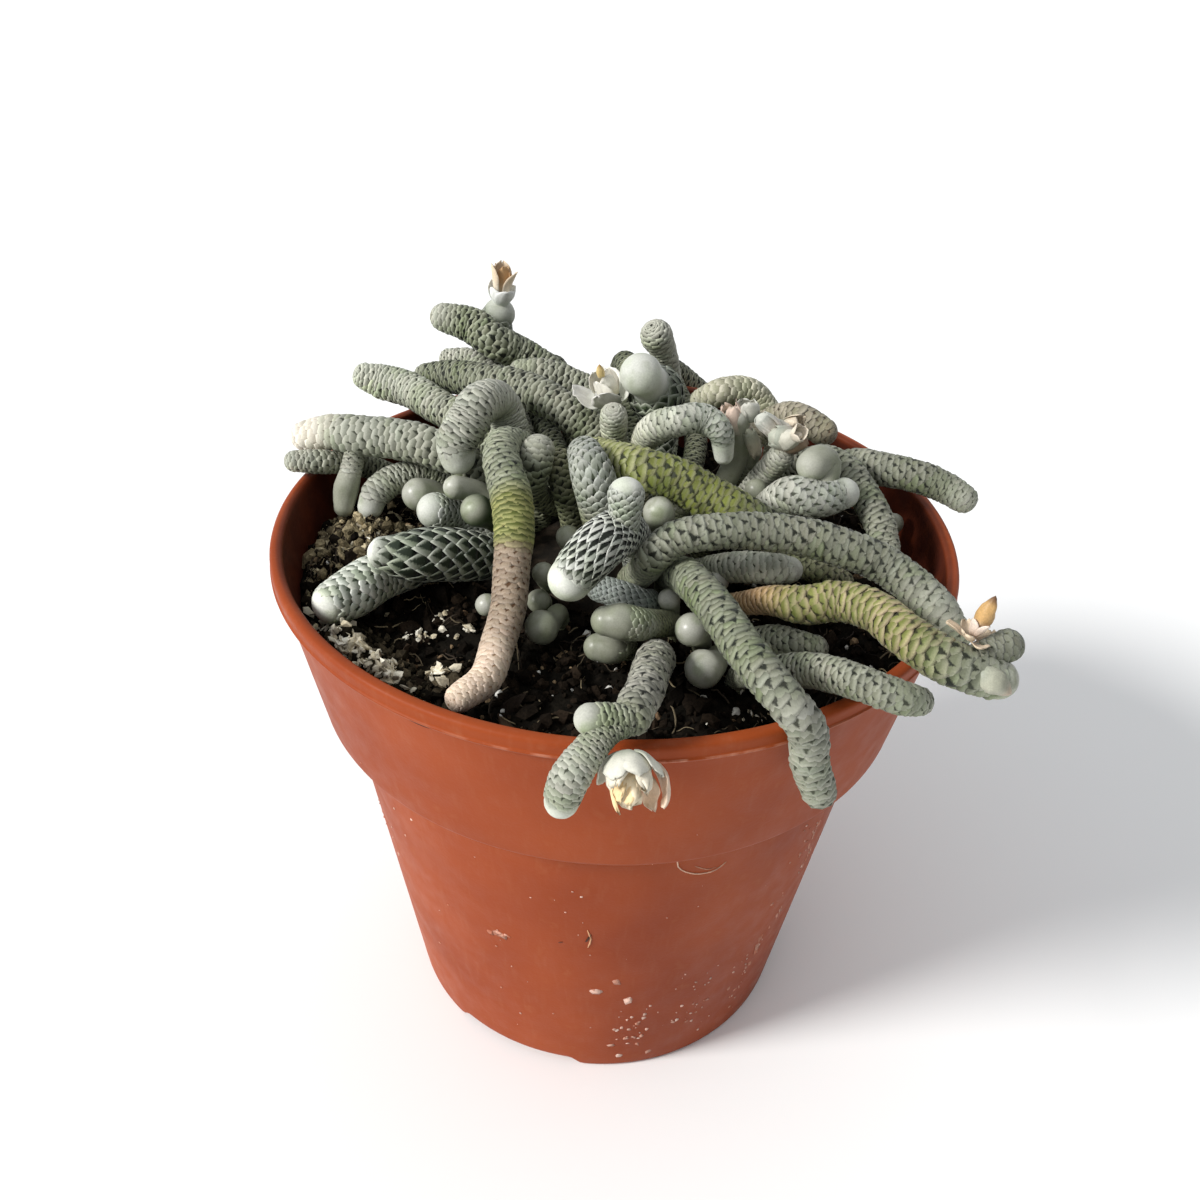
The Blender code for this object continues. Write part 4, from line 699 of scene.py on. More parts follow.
def stemLine(samples, rooted):
    # the stem's axis from its tip pole to its root, with an even frame: the side direction is
    # the normal of the route's own plane made square to the run, so it never flips
    last, back = samples[-1], unit(samples[-1, :3] - samples[-2, :3])
    if rooted:
        foot = last[:3] + back * 1.2
        foot[2] = groundHeight(foot[0], foot[1]) - 1.5
        samples = np.vstack([samples, [*foot, last[3] * 0.9]])
    else:
        samples = np.vstack([samples, [*(last[:3] + back * 0.6 * last[3]), last[3] * 0.85]])
    line = smoothRoute(samples, shieldSpec["fine"])
    radius = line[0, 3]
    turn = np.linspace(0, math.pi / 2, shieldSpec["domeRows"], endpoint=False)
    out = unit(line[0, :3] - line[2, :3])
    dome = np.column_stack([line[0, :3] + out * (radius * np.cos(turn))[:, None],
                            radius * np.sin(turn)])
    line = np.vstack([dome, line])
    centre, rho = line[:, :3], line[:, 3]
    run = unit(np.gradient(centre, axis=0))
    run[:len(dome) + 1] = -out
    spread = centre - centre.mean(axis=0)
    side = np.linalg.svd(spread)[2][2] if len(samples) > 3 else np.cross(out, [0.3, 0.2, 0.9])
    side = side * (1 if side[np.argmax(np.abs(side))] > 0 else -1)
    side = unit(side - run * (run @ side)[:, None])
    step = np.linalg.norm(np.diff(centre, axis=0), axis=1)
    swell = np.diff(rho)
    along = np.concatenate([[0.0], np.cumsum(np.hypot(step, swell))])
    forward = np.gradient(np.concatenate([[0.0], np.cumsum(step)]), along)
    widening = np.gradient(rho, along)
    return {"along": along, "centre": centre, "run": run, "side": side, "over": np.cross(run, side),
            "rho": rho, "forward": forward, "widening": widening, "tip": radius}


def readLine(line, key, s):
    values = line[key]
    if values.ndim == 1:
        return np.interp(s, line["along"], values)
    return np.stack([np.interp(s, line["along"], values[:, k]) for k in range(3)], axis=-1)


def outward(line, s, angle):
    # the direction away from the axis at an angle, and the surface's normal there
    run, side, over = (readLine(line, key, s) for key in ("run", "side", "over"))
    radial = side * np.cos(angle)[..., None] + over * np.sin(angle)[..., None]
    normal = unit(radial * readLine(line, "forward", s)[..., None]
                  - run * readLine(line, "widening", s)[..., None])
    return radial, normal


def onStem(line, s, angle, share, height):
    # a point at the share of the stem's radius at s, turned by angle, and lifted by height along
    # the surface's normal
    radial, normal = outward(line, s, angle)
    return (readLine(line, "centre", s) + radial * (share * readLine(line, "rho", s))[..., None]
            + normal * height[..., None])


def shadeAndGreening(points, normal, green):
    # a multiplier of the colour towards a darker green: strongest where the surface faces down, as
    # painted shade on the undersides and scales less bleached there, and in patches of noise
    share = 0.55 * ease(0.4, -0.7, normal[..., 2]) + 0.6 * ease(0.05, 0.5, smoothNoise(points, 3.0, 61, 2))
    return blend((1.0, 1.0, 1.0), shieldSpec["underShadeGreen"], np.clip(green * share, 0, 1))


def cellRadius(rho, fine):
    # the radius that sets a cell's size: the stem's own, which counts for little past the full one
    full = shieldSpec["fullRadius"]
    return fine * np.where(rho < full, rho, full + 0.22 * (rho - full))


def addCore(bundle, line, zones, tone=1):
    # the stem between the shields: a round tube at a share of the radius, which fills up to the
    # skin where that is bare, with faint uneven rings, closed at both ends
    total, tip = line["along"][-1], line["tip"]
    fine = np.linspace(0, tip * 1.5, 11)[1:]
    rest = np.arange(fine[-1] + shieldSpec["ring"], total, shieldSpec["ring"])
    s = np.concatenate([fine, rest, [total]])
    angle = np.linspace(0, 2 * math.pi, shieldSpec["sides"], endpoint=False)
    grid, turn = np.meshgrid(s, angle, indexing="ij")
    rings, sides = grid.shape
    skin = skinAlong(zones, np.concatenate([grid.ravel() / total, [0, 1]]))
    bare = ease(0.05, 0.4, skin["bare"])
    around = bare[:-2].reshape(grid.shape)
    wave = smoothNoise(onStem(line, grid, turn, 1, 0 * grid), 1.1, 3, 2)
    height = 0.03 * wave + 0.012 * np.sin(grid * 2 * math.pi / 0.8 + 2 * wave)
    points = onStem(line, grid, turn, shieldSpec["core"] + (0.995 - shieldSpec["core"]) * around,
                    height * around * ease(0, tip, grid))
    points = np.vstack([points.reshape(-1, 3), line["centre"][:1], line["centre"][-1:]])
    normal = np.vstack([outward(line, grid, turn)[1].reshape(-1, 3), -line["run"][:1], line["run"][-1:]])
    spots = bare * skin["green"] * ease(0.1, 0.55, smoothNoise(points, 1.3, 71, 2))
    # where it is not bare the core takes the gap colour, its own dark green darkened with painted shade, as
    # it shows only in the hollows between the shields
    tint = blend(skin["gap"], skin["body"], bare)
    tint = tint * blend((1.0, 1.0, 1.0), shieldSpec["mottled"], spots.clip(0, 1))
    tint = tint * shadeAndGreening(points, normal, skin["green"]) * tone
    bundle.add(points, turnedFaces(rings, sides), tint, gap=skin["gap"], window=(9, 9, 0))


def shieldFaces():
    # a five by five grid for the outside, and a fan to one point under it
    n = len(shieldSpec["rows"])
    top = gridFaces(n, n)[:, [0, 3, 2, 1]]
    edge = gridBorder(n, n)
    under = np.stack([np.roll(edge, -1), edge, np.full(len(edge), n * n)], axis=1)
    return top, under


def addShields(bundle, line, zones, squeeze, finer, rng, tone=1):
    # seats on a golden-angle spiral whose rise follows the radius, so the cells keep their shape
    # and shrink on the dome; each seat carries one shield that leans to the tip. Its outline is
    # y = v (1 - drop |c|^point) along the stem and x = wide c across it, its height rises from
    # a sunk foot to the lifted tip, with a bulge (1 - c^2) 4 v (1 - v)
    spec = shieldSpec
    total = line["along"][-1]
    fine = np.linspace(0, total, 4000)
    radius = readLine(line, "rho", fine)
    live = radius > spec["smallest"] * line["tip"]
    rise = spec["rise"] * squeeze * cellRadius(radius, finer) ** 2 / radius.clip(0.05)
    count = np.cumsum(np.where(live, 1 / rise.clip(0.004), 0)) * fine[1]
    number = np.arange(1, int(count[-1]))
    seat = np.interp(number, count, fine)
    keep = skinAlong(zones, seat / total)["bare"] < 0.6
    number, seat = number[keep], seat[keep]
    if len(seat) == 0:
        return 0
    size = spec["cell"] * cellRadius(readLine(line, "rho", seat), finer)
    size = size * (1 + rng.normal(0, spec["jitter"] * 0.7, len(seat)))
    seat = seat + rng.normal(0, spec["jitter"], len(seat)) * size * squeeze
    turn = number * goldenAngle + rng.uniform(0, 6.3)
    turn = turn + rng.normal(0, spec["jitter"], len(seat)) * size / readLine(line, "rho", seat)
    skin = skinAlong(zones, seat / total)
    fade = 1 - 0.9 * ease(0.08, 0.55, skin["bare"])
    for key in ("sink", "lift", "bulge", "long", "broad"):
        skin[key] = skin[key] * fade
    skin["gap"] = blend(skin["body"], skin["gap"], fade)
    one = {key: skin[key][:, None, None] for key in skinChannels[3:]}
    v = np.array(spec["rows"])[None, :, None]
    c = np.array(spec["columns"])[None, None, :]
    cell = size[:, None, None]
    drop = one["drop"] * (1 + rng.normal(0, spec["dropSpread"], (len(seat), 1, 1)))
    y = v * (1 - drop * np.abs(c) ** one["point"])
    x = one["wide"] * c * (0.8 + 0.2 * ease(0, 0.4, v))
    s = seat[:, None, None] + squeeze * cell * (spec["behind"] - (spec["behind"] + spec["ahead"]) * y)
    angle = turn[:, None, None] + x * cell / readLine(line, "rho", seat)[:, None, None]
    lift = one["lift"] * (1 + rng.normal(0, spec["liftSpread"], (len(seat), 1, 1)))
    height = cell * (-one["sink"] + (lift + one["sink"]) * (0.5 * v + 0.5 * y) ** 1.2
                     + one["bulge"] * (1 - c ** 4) * 4 * v * (1 - v))
    height = height - 0.10 * cell * one["broad"] * (1 - c ** 2) * (1 - ease(0.25, 0.6, v))
    points = onStem(line, s.clip(0.02, total), angle, spec["seat"], height)
    under = onStem(line, seat, turn, spec["seat"], -(1.2 * skin["sink"] + 0.03) * size)
    whole = np.concatenate([points.reshape(len(seat), -1, 3), under[:, None, :]], axis=1)
    rim = np.maximum(0.6 * ease(0.5, 1.0, np.abs(c)) * ease(0.05, 0.5, v), ease(0.60, 1.0, v)) + 0 * angle
    tint = blend(skin["body"][:, None, :], skin["edge"][:, None, :], rim.reshape(len(seat), -1))
    # painted shade: each shield's foot, where the tips of the shields before it overhang, darkens towards the
    # gap colour by the skin's shade
    root = one["shade"] * rng.uniform(*spec["footShade"], (len(seat), 1, 1))
    root = root * (1 - ease(0.25, 0.85, y)) + 0 * angle
    tint = blend(tint, skin["gap"][:, None, :], root.reshape(len(seat), -1).clip(0, 1))
    tint = np.concatenate([tint, skin["gap"][:, None, :]], axis=1)
    tint = tint * (1 + rng.normal(0, spec["tintSpread"], (len(seat), 1, 1)))
    tint = tint * (1 + rng.normal(0, spec["hueSpread"], (len(seat), 1, 3)))
    tint = tint * shadeAndGreening(whole[:, -1], outward(line, seat, turn)[1], skin["green"])[:, None, :] * tone
    ragged = 1 + rng.normal(0, spec["windowSpread"], (len(seat), 1, 1))
    window = np.stack([(x - spec["windowSide"]) / (one["broad"] * ragged).clip(0.01) + 0 * angle,
                       np.maximum(y - spec["windowFoot"], 0) / (one["long"] * ragged).clip(0.01) + 0 * angle,
                       0 * angle], axis=-1).reshape(len(seat), -1, 3)
    window = np.concatenate([window, np.full((len(seat), 1, 3), 9.0)], axis=1)
    gap = np.broadcast_to(skin["gap"][:, None, :], whole.shape)
    faces = []
    for shape in shieldFaces():
        step = np.arange(len(seat))[:, None, None] * whole.shape[1]
        faces.append((shape[None] + step).reshape(-1, shape.shape[1]))
    bundle.add(whole, faces, tint, gap=gap, window=window, flat=(1,))
    return len(seat)


def narrowed(route, place, width, depth):
    # the radius less a bell curve round a place along the route
    way = np.concatenate([[0], np.cumsum(np.linalg.norm(np.diff(route[:, :3], axis=0), axis=1))])
    waist = 1 - depth * np.exp(-((way / way[-1] - place) / width) ** 2)
    return route * np.column_stack([np.ones((len(way), 3)), waist])


def buildStems(settled):
    seats = 0
    for index, (name, (slot, *own)) in enumerate(stems.items()):
        bundle = Bundle()
        chains = [(name, *own)] + [(side, *rest) for side, (stem, *rest) in branches.items() if stem == name]
        for k, (chain, words, (squeeze, finer, tone, full), _) in enumerate(chains):
            rng = np.random.default_rng(100 + 7 * index + k)
            route = settled[chain][1] * [1, 1, 1, full]
            if chain in waists:
                route = narrowed(route, *waists[chain])
            line = stemLine(route, chain == name)
            zones = readZones(words)
            addCore(bundle, line, zones, tone)
            seats += addShields(bundle, line, zones, squeeze, finer, rng, tone)
        piece = bundle.piece(name + "_scales", materials[slot])
        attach(piece, "root")
        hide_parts(name)
    print("stems dressed:", len(stems), "with", seats, "shields")


# Flowers and capsules: base and top of each, as its solid has them, and the rings of petals
# round its axis: count (0 for one loose petal), first angle, foot radius, start, length, half
# width, lean at the foot and curl to the tip in degrees, cup across, ragged edge and crumple,
# then the colours of foot and tip

flowers = {
    "flower_front_dried": {
        "base": (1.7, -56.0, 92.8), "top": (2.1, -61.4, 89.6), "radius": 3.4, "slot": "petal",
        "rings": [
            (6, 270, 0.6, 0.0, 4.9, 2.0, 82, -84, 0.4, 0.2, 0.3, (0.46, 0.48, 0.38), (0.74, 0.72, 0.62)),
            (5, 245, 0.6, 0.5, 5.3, 1.8, 68, -88, 0.5, 0.4, 0.45, (0.66, 0.62, 0.5), (0.82, 0.75, 0.6)),
            (5, 265, 0.5, 0.9, 5.5, 1.6, 50, -84, 0.6, 0.5, 0.7, (0.7, 0.54, 0.3), (0.9, 0.76, 0.54)),
            (6, 35, 0.3, 1.6, 4.8, 1.1, 34, -58, 0.5, 0.5, 0.8, (0.5, 0.3, 0.12), (0.9, 0.68, 0.38)),
            (0, 188, 2.4, 0.6, 6.0, 1.7, 70, -98, 0.35, 0.2, 0.35, (0.58, 0.46, 0.34), (0.8, 0.62, 0.47)),
            (0, 162, 2.1, 1.8, 5.3, 1.5, 58, -84, 0.35, 0.2, 0.35, (0.6, 0.46, 0.32), (0.82, 0.64, 0.48)),
        ]},
    "flower_back_dried": {
        "base": (-21.6, 45.8, 107.8), "top": (-21.0, 45.6, 113.2), "radius": 2.4, "slot": "petal",
        "rings": [
            (4, 15, 0.9, -1.6, 3.8, 1.9, 42, -34, 0.5, 0.1, 0.15, (0.7, 0.74, 0.66), (0.88, 0.88, 0.84)),
            (3, 80, 0.9, -0.2, 5.6, 1.7, 12, -4, 0.55, 0.22, 0.25, (0.8, 0.74, 0.62), (0.8, 0.64, 0.46)),
            (3, 20, 0.6, 0.2, 4.6, 1.2, 8, -4, 0.5, 0.3, 0.3, (0.72, 0.6, 0.42), (0.54, 0.33, 0.16)),
        ]},
    "flower_centre_papery": {
        "base": (-0.7, 14.6, 104.0), "top": (-3.2, 13.4, 109.2), "radius": 2.6, "slot": "petal",
        "rings": [
            (4, 150, 0.8, -0.6, 5.8, 2.5, 64, -40, 0.14, 0.35, 0.55, (0.6, 0.62, 0.53), (0.84, 0.82, 0.76)),
            (4, 200, 0.6, 0.2, 4.6, 1.7, 40, -60, 0.3, 0.4, 0.5, (0.56, 0.52, 0.4), (0.8, 0.77, 0.68)),
        ]},
    "capsule_golden": {
        "base": (45.4, -38.4, 98.8), "top": (47.0, -38.0, 104.6), "radius": 1.5, "slot": "capsule",
        "rings": [
            (6, 210, 0.5, -0.6, 2.9, 1.05, 84, -24, 0.35, 0.4, 0.4, (0.5, 0.38, 0.26), (0.7, 0.56, 0.4)),
            (4, 10, 0.5, 0.0, 2.4, 0.8, 26, -6, 0.5, 0.2, 0.25, (0.66, 0.52, 0.42), (0.8, 0.68, 0.58)),
        ]},
    "capsule_pale": {
        "base": (25.0, 4.2, 102.8), "top": (27.4, 1.8, 106.4), "radius": 2.4, "slot": "petal",
        "rings": [
            (3, 30, 0.5, 1.8, 2.6, 1.1, 24, -10, 0.5, 0.2, 0.25, (0.56, 0.54, 0.44), (0.74, 0.66, 0.54)),
        ]},
}
petalChannels = ("count", "first", "foot", "start", "length", "half", "lean", "curl", "cup", "ragged",
                 "crumple", "footColour", "tipColour")
petalSpec = {"rows": 12, "columns": 9, "thick": 0.10, "leanSpread": 5, "turnSpread": 0.08,
             "lengths": (0.88, 1.1), "widths": (0.9, 1.1), "shades": (0.92, 1.05)}

# Seed pods: closed drops, as (base, top, radius, foot colour, body colour, tip colour)
pods = {
    "capsule_golden": [((45.9, -38.3, 99.8), (47.2, -38.0, 104.7), 1.32, (0.84, 0.66, 0.48),
        (0.54, 0.33, 0.13), (0.16, 0.08, 0.04)), ((45.5, -42.2, 96.3), (50.1, -43.9, 93.9), 2.0,
        (0.30, 0.32, 0.25), (0.40, 0.40, 0.31), (0.50, 0.39, 0.29))],
    "flower_centre_papery": [((-2.6, 13.4, 108.0), (-3.0, 13.0, 110.6), 0.75, (0.70, 0.62, 0.42),
        (0.66, 0.50, 0.22), (0.40, 0.24, 0.08))],
    "capsule_pale": [((24.6, 4.6, 102.4), (27.2, 2.2, 105.6), 1.75, (0.40, 0.40, 0.32),
        (0.58, 0.56, 0.47), (0.74, 0.66, 0.54))],
}


def axisFrame(base, top):
    # the axis from base to top with two directions square to it
    base, top = np.array(base, dtype=float), np.array(top, dtype=float)
    axis = unit(top - base)
    first = unit(np.cross(axis, [0.31, -0.88, 0.36]))
    return base, axis, first, np.cross(axis, first)


def sheetShell(grid, thick):
    # a thin closed sheet: the grid of points moved half the thickness to each side along its
    # normals, the two sides joined round the border
    rows, columns = grid.shape[:2]
    normal = unit(np.cross(np.gradient(grid, axis=0), np.gradient(grid, axis=1)))
    points = np.concatenate([(grid + normal * thick / 2).reshape(-1, 3),
                             (grid - normal * thick / 2).reshape(-1, 3)])
    face = gridFaces(rows, columns)
    shift = rows * columns
    edge = gridBorder(rows, columns)
    after = np.roll(edge, -1)
    rim = np.stack([edge, after, after + shift, edge + shift], axis=1)
    return points, [face[:, ::-1], face + shift, rim[:, ::-1]]


def addPetal(bundle, spot, ring, angle, rng):
    # a leaf-shaped sheet: it leaves the axis at the lean angle, which turns by the curl on the
    # way to the tip; its half width swells and closes like a leaf, and its sides cup inwards
    base, axis, first, second = spot
    t = np.linspace(0, 1, petalSpec["rows"])[:, None]
    c = np.linspace(-1, 1, petalSpec["columns"])[None, :]
    lean = np.radians(ring["lean"] + rng.normal(0, petalSpec["leanSpread"]) + ring["curl"] * t)
    length = ring["length"] * rng.uniform(*petalSpec["lengths"])
    step = length / (petalSpec["rows"] - 1)
    out = ring["foot"] + np.cumsum(np.sin(lean), axis=0) * step
    up = ring["start"] + np.cumsum(np.cos(lean), axis=0) * step
    leaf = 0.35 + 0.65 * np.sin(math.pi * (0.12 + 0.6 * t))
    half = ring["half"] * rng.uniform(*petalSpec["widths"]) * leaf
    half = half * np.sqrt(np.clip(1.04 - t ** 5, 0, 1))
    cup = ring["cup"] * half * c ** 2
    radial = first * math.cos(angle) + second * math.sin(angle)
    tangent = np.cross(axis, radial)
    ragged = ring["ragged"] * length * 0.3 * t * smoothNoise(
        np.stack([c * 3 + 9 * angle + 0 * t, c + 0 * t, 4.0 + 0 * c * t], axis=-1), 0.8, 11)
    points = (base + axis * (up + ragged)[..., None] + radial * (out - cup * np.cos(lean))[..., None]
              + axis * (cup * np.sin(lean))[..., None] + tangent * (half * c)[..., None])
    crumple = np.stack([smoothNoise(points + 7 * angle, 1.7, 31 + k, 2) for k in range(3)], axis=-1)
    points = points + ring["crumple"] * crumple * (0.4 + t[..., None])
    shellPoints, faces = sheetShell(points, petalSpec["thick"])
    tint = blend(ring["footColour"], ring["tipColour"], ease(0.05, 0.7, t + 0 * c))
    vein = 1 - 0.10 * np.cos(9 * c) ** 2 * (1 - 0.5 * t)
    tint = tint * (vein * rng.uniform(*petalSpec["shades"]))[..., None]
    bundle.add(shellPoints, faces, np.concatenate([tint.reshape(-1, 3)] * 2))


def addPod(bundle, base, top, radius, colours, seed):
    # a drop turned about its axis: sine of the way along to a power, with a pointed tip, low
    # ribs round it and noise
    base, _, first, second = axisFrame(base, top)
    top = np.array(top, dtype=float)
    t = np.linspace(0, 1, 15)[1:-1, None]
    angle = np.linspace(0, 2 * math.pi, 18, endpoint=False)[None, :]
    around = radius * np.sin(math.pi * t ** 0.8) ** 0.75 * (1 - 0.25 * t) * (1 + 0.05 * np.cos(5 * angle))
    points = (base + (top - base) * t[..., None] + first * (around * np.cos(angle))[..., None]
              + second * (around * np.sin(angle))[..., None])
    bumps = 0.16 * radius * smoothNoise(points, 0.8, seed, 2)[..., None]
    points = points + bumps * unit(points - (base + (top - base) * t[..., None]))
    whole = np.vstack([points.reshape(-1, 3), base, top])
    rows, columns = points.shape[:2]
    way = np.concatenate([np.repeat(t[:, 0], columns), [0, 1]])
    tint = blend(blend(colours[0], colours[1], ease(0.0, 0.35, way)), colours[2], ease(0.72, 0.95, way))
    bundle.add(whole, turnedFaces(rows, columns), tint)


def buildFlowers(settled):
    for index, (name, spec) in enumerate(flowers.items()):
        rng = np.random.default_rng(500 + index)
        bundle = Bundle()
        middle = (np.array(spec["base"]) + np.array(spec["top"])) / 2
        shift = settled[name][1][:, :3].mean(axis=0) - middle
        spot = axisFrame(np.array(spec["base"]) + shift, np.array(spec["top"]) + shift)
        for values in spec["rings"]:
            ring = dict(zip(petalChannels, values))
            if ring["count"] == 0:
                addPetal(bundle, spot, ring, math.radians(ring["first"]), rng)
            for k in range(ring["count"]):
                step = k + rng.normal(0, petalSpec["turnSpread"])
                addPetal(bundle, spot, ring, math.radians(ring["first"] + 360 / ring["count"] * step), rng)
        for k, (base, top, radius, *colours) in enumerate(pods.get(name, [])):
            addPod(bundle, np.array(base) + shift, np.array(top) + shift, radius, colours, 40 + k)
        piece = bundle.piece(name + "_dried", materials[spec["slot"]])
        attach(piece, "root")
        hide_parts(name)
    print("flowers made:", len(flowers))


# Small buds and pods between the stems: (tip x, y, z, root x, y, z, radius, skin)
tinyBuds = [
    (46.0, 10.0, 87.5, 44.0, 9.0, 83.0, 1.7, "bud"),
    (43.5, 6.5, 87.0, 42.0, 7.5, 82.5, 1.3, "bud"),
    (7.5, -21.8, 92.0, 8.6, -20.0, 87.0, 1.6, "budWhite"),
    (-19.0, -18.0, 86.6, -17.5, -15.5, 83.5, 1.7, "budWhite"),
    (-10.6, -15.2, 91.0, -9.6, -12.6, 86.0, 1.7, "bud"),
    (-11.4, -16.8, 86.6, -10.0, -13.5, 83.6, 1.8, "bud"),
    (-7.4, -9.8, 94.2, -6.0, -7.0, 88.0, 1.8, "bud"),
    (21.8, 2.4, 97.0, 20.5, 2.6, 91.0, 1.8, "bud"),
    (24.3, 0.6, 95.2, 22.6, 1.6, 90.0, 1.6, "budWhite"),
    (15.6, -15.4, 91.0, 13.6, -12.8, 86.0, 1.7, "budWhite"),
    (4.8, -7.4, 95.0, 4.4, -5.4, 89.0, 1.6, "budWhite"),
    (21.7, 12.0, 98.6, 19.6, 11.0, 92.0, 1.8, "bud"),
]

# Loose pods of the pale cluster: base, top, radius and the three colours of each, and the sheets
# wrapped round each, in shares of its radius and length
clusterPods = [
    ((18.1, 8.5, 101.4), (16.7, 8.5, 105.8), 1.9, (0.44, 0.42, 0.34), (0.62, 0.52, 0.43), (0.72, 0.56, 0.46)),
    ((20.6, 9.5, 103.6), (19.3, 9.5, 106.4), 1.9, (0.40, 0.42, 0.35), (0.50, 0.51, 0.44), (0.58, 0.57, 0.50)),
    ((20.9, 6.5, 106.2), (23.7, 6.5, 103.6), 1.6, (0.52, 0.53, 0.47), (0.72, 0.70, 0.64), (0.80, 0.74, 0.66)),
    ((19.6, 7.5, 103.4), (21.6, 7.5, 99.4), 1.1, (0.36, 0.37, 0.28), (0.50, 0.48, 0.37), (0.60, 0.54, 0.42)),
    ((22.6, 5.0, 103.8), (27.4, 4.9, 102.4), 2.1, (0.44, 0.46, 0.38), (0.60, 0.58, 0.49), (0.34, 0.24, 0.16)),
    ((17.8, 9.0, 103.6), (20.4, 9.0, 101.2), 1.3, (0.42, 0.42, 0.34), (0.56, 0.50, 0.42), (0.66, 0.52, 0.42)),
    ((22.9, 7.5, 104.5), (25.6, 7.5, 103.0), 1.4, (0.44, 0.45, 0.38), (0.62, 0.60, 0.53), (0.74, 0.68, 0.58)),
    ((25.2, 10.2, 101.6), (27.6, 8.6, 104.2), 1.6, (0.4, 0.42, 0.34), (0.58, 0.54, 0.44), (0.72, 0.62, 0.48)),
]
wrapSpec = {"foot": 0.6, "length": 1.0, "half": 0.85, "lean": 22, "curl": -42, "cup": 0.5,
            "ragged": 0.5, "crumple": 0.3, "count": 4, "shell": 1.12, "turnSpread": 0.15}


def addWrap(bundle, base, top, radius, colours, rng):
    # torn sheets round a pod, each as wide as a share of its radius
    w = wrapSpec
    spot = axisFrame(base, top)
    span = np.linalg.norm(np.array(top) - np.array(base))
    for k in range(w["count"]):
        sheet = {"foot": w["foot"] * radius * w["shell"], "start": 0.05 * span, "length": w["length"] * span,
                 "half": w["half"] * radius, "lean": w["lean"], "curl": w["curl"], "cup": w["cup"],
                 "ragged": w["ragged"], "crumple": w["crumple"], "footColour": colours[0],
                 "tipColour": colours[2]}
        step = k + rng.uniform(-w["turnSpread"], w["turnSpread"])
        addPetal(bundle, spot, sheet, 2 * math.pi * step / w["count"], rng)


def buildTinyBuds():
    bundle = Bundle()
    for k, (x0, y0, z0, x1, y1, z1, radius, skin) in enumerate(tinyBuds):
        tip, root = np.array([x0, y0, z0]), np.array([x1, y1, z1])
        inner = tip + unit(root - tip) * radius * 0.9
        route = np.array([[*inner, radius], [*((inner + root) / 2), radius * 0.82], [*root, radius * 0.6]])
        line = stemLine(smoothRoute(route, 0.9), False)
        zones = [(0, skin), (0.35, skin), (0.6, "budScaly"), (1, "mossy")]
        addCore(bundle, line, zones)
        addShields(bundle, line, zones, 1, 1, np.random.default_rng(900 + k))
    piece = bundle.piece("small_buds", materials["bud"])
    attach(piece, "root")
    bundle = Bundle()
    rng = np.random.default_rng(940)
    for k, (base, top, radius, *colours) in enumerate(clusterPods):
        addPod(bundle, base, top, radius * 0.86, colours, 60 + k)
        addWrap(bundle, base, top, radius, colours, rng)
    piece = bundle.piece("pod_cluster", materials["petal"])
    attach(piece, "root")
    print("small buds made:", len(tinyBuds), "and pods:", len(clusterPods))


# Small repeated shapes: lumps from one twenty-sided ball, and threads with few sides. Each
# lump's corners vary in brightness by a share
lumpShades = 0.08


def lumpShape():
    # the twelve corners and twenty faces of an icosahedron of radius one
    g = (1 + 5 ** 0.5) / 2
    corners = [(-1, g, 0), (1, g, 0), (-1, -g, 0), (1, -g, 0), (0, -1, g), (0, 1, g),
               (0, -1, -g), (0, 1, -g), (g, 0, -1), (g, 0, 1), (-g, 0, -1), (-g, 0, 1)]
    faces = [(0, 11, 5), (0, 5, 1), (0, 1, 7), (0, 7, 10), (0, 10, 11), (1, 5, 9), (5, 11, 4),
             (11, 10, 2), (10, 7, 6), (7, 1, 8), (3, 9, 4), (3, 4, 2), (3, 2, 6), (3, 6, 8),
             (3, 8, 9), (4, 9, 5), (2, 4, 11), (6, 2, 10), (8, 6, 7), (9, 8, 1)]
    return unit(np.array(corners, dtype=float)), np.array(faces)


def randomFrames(count, rng):
    # evenly spread turns from random unit quaternions, as rows of three axes
    w, x, y, z = unit(rng.normal(size=(count, 4))).T
    return np.stack([
        np.stack([1 - 2 * (y * y + z * z), 2 * (x * y + z * w), 2 * (x * z - y * w)], axis=1),
        np.stack([2 * (x * y - z * w), 1 - 2 * (x * x + z * z), 2 * (y * z + x * w)], axis=1),
        np.stack([2 * (x * z + y * w), 2 * (y * z - x * w), 1 - 2 * (x * x + y * y)], axis=1),
    ], axis=1)


def addLumps(bundle, places, frames, scales, tints, rng, rough):
    # each lump: the ball's corners scaled along the frame's axes and pushed in and out at random
    corners, faces = lumpShape()
    shape = corners[None] * (1 + rng.normal(0, rough, (len(places), len(corners), 1))).clip(0.4, 1.6)
    points = places[:, None, :] + np.einsum("nvk,nkx->nvx", shape * scales[:, None, :], frames)
    step = np.arange(len(places))[:, None, None] * len(corners)
    tint = np.repeat(tints[:, None, :], len(corners), axis=1)
    tint = tint * (1 + rng.normal(0, lumpShades, (len(places), len(corners), 1)))
    bundle.add(points, [(faces[None] + step).reshape(-1, 3)], tint.reshape(-1, 3))


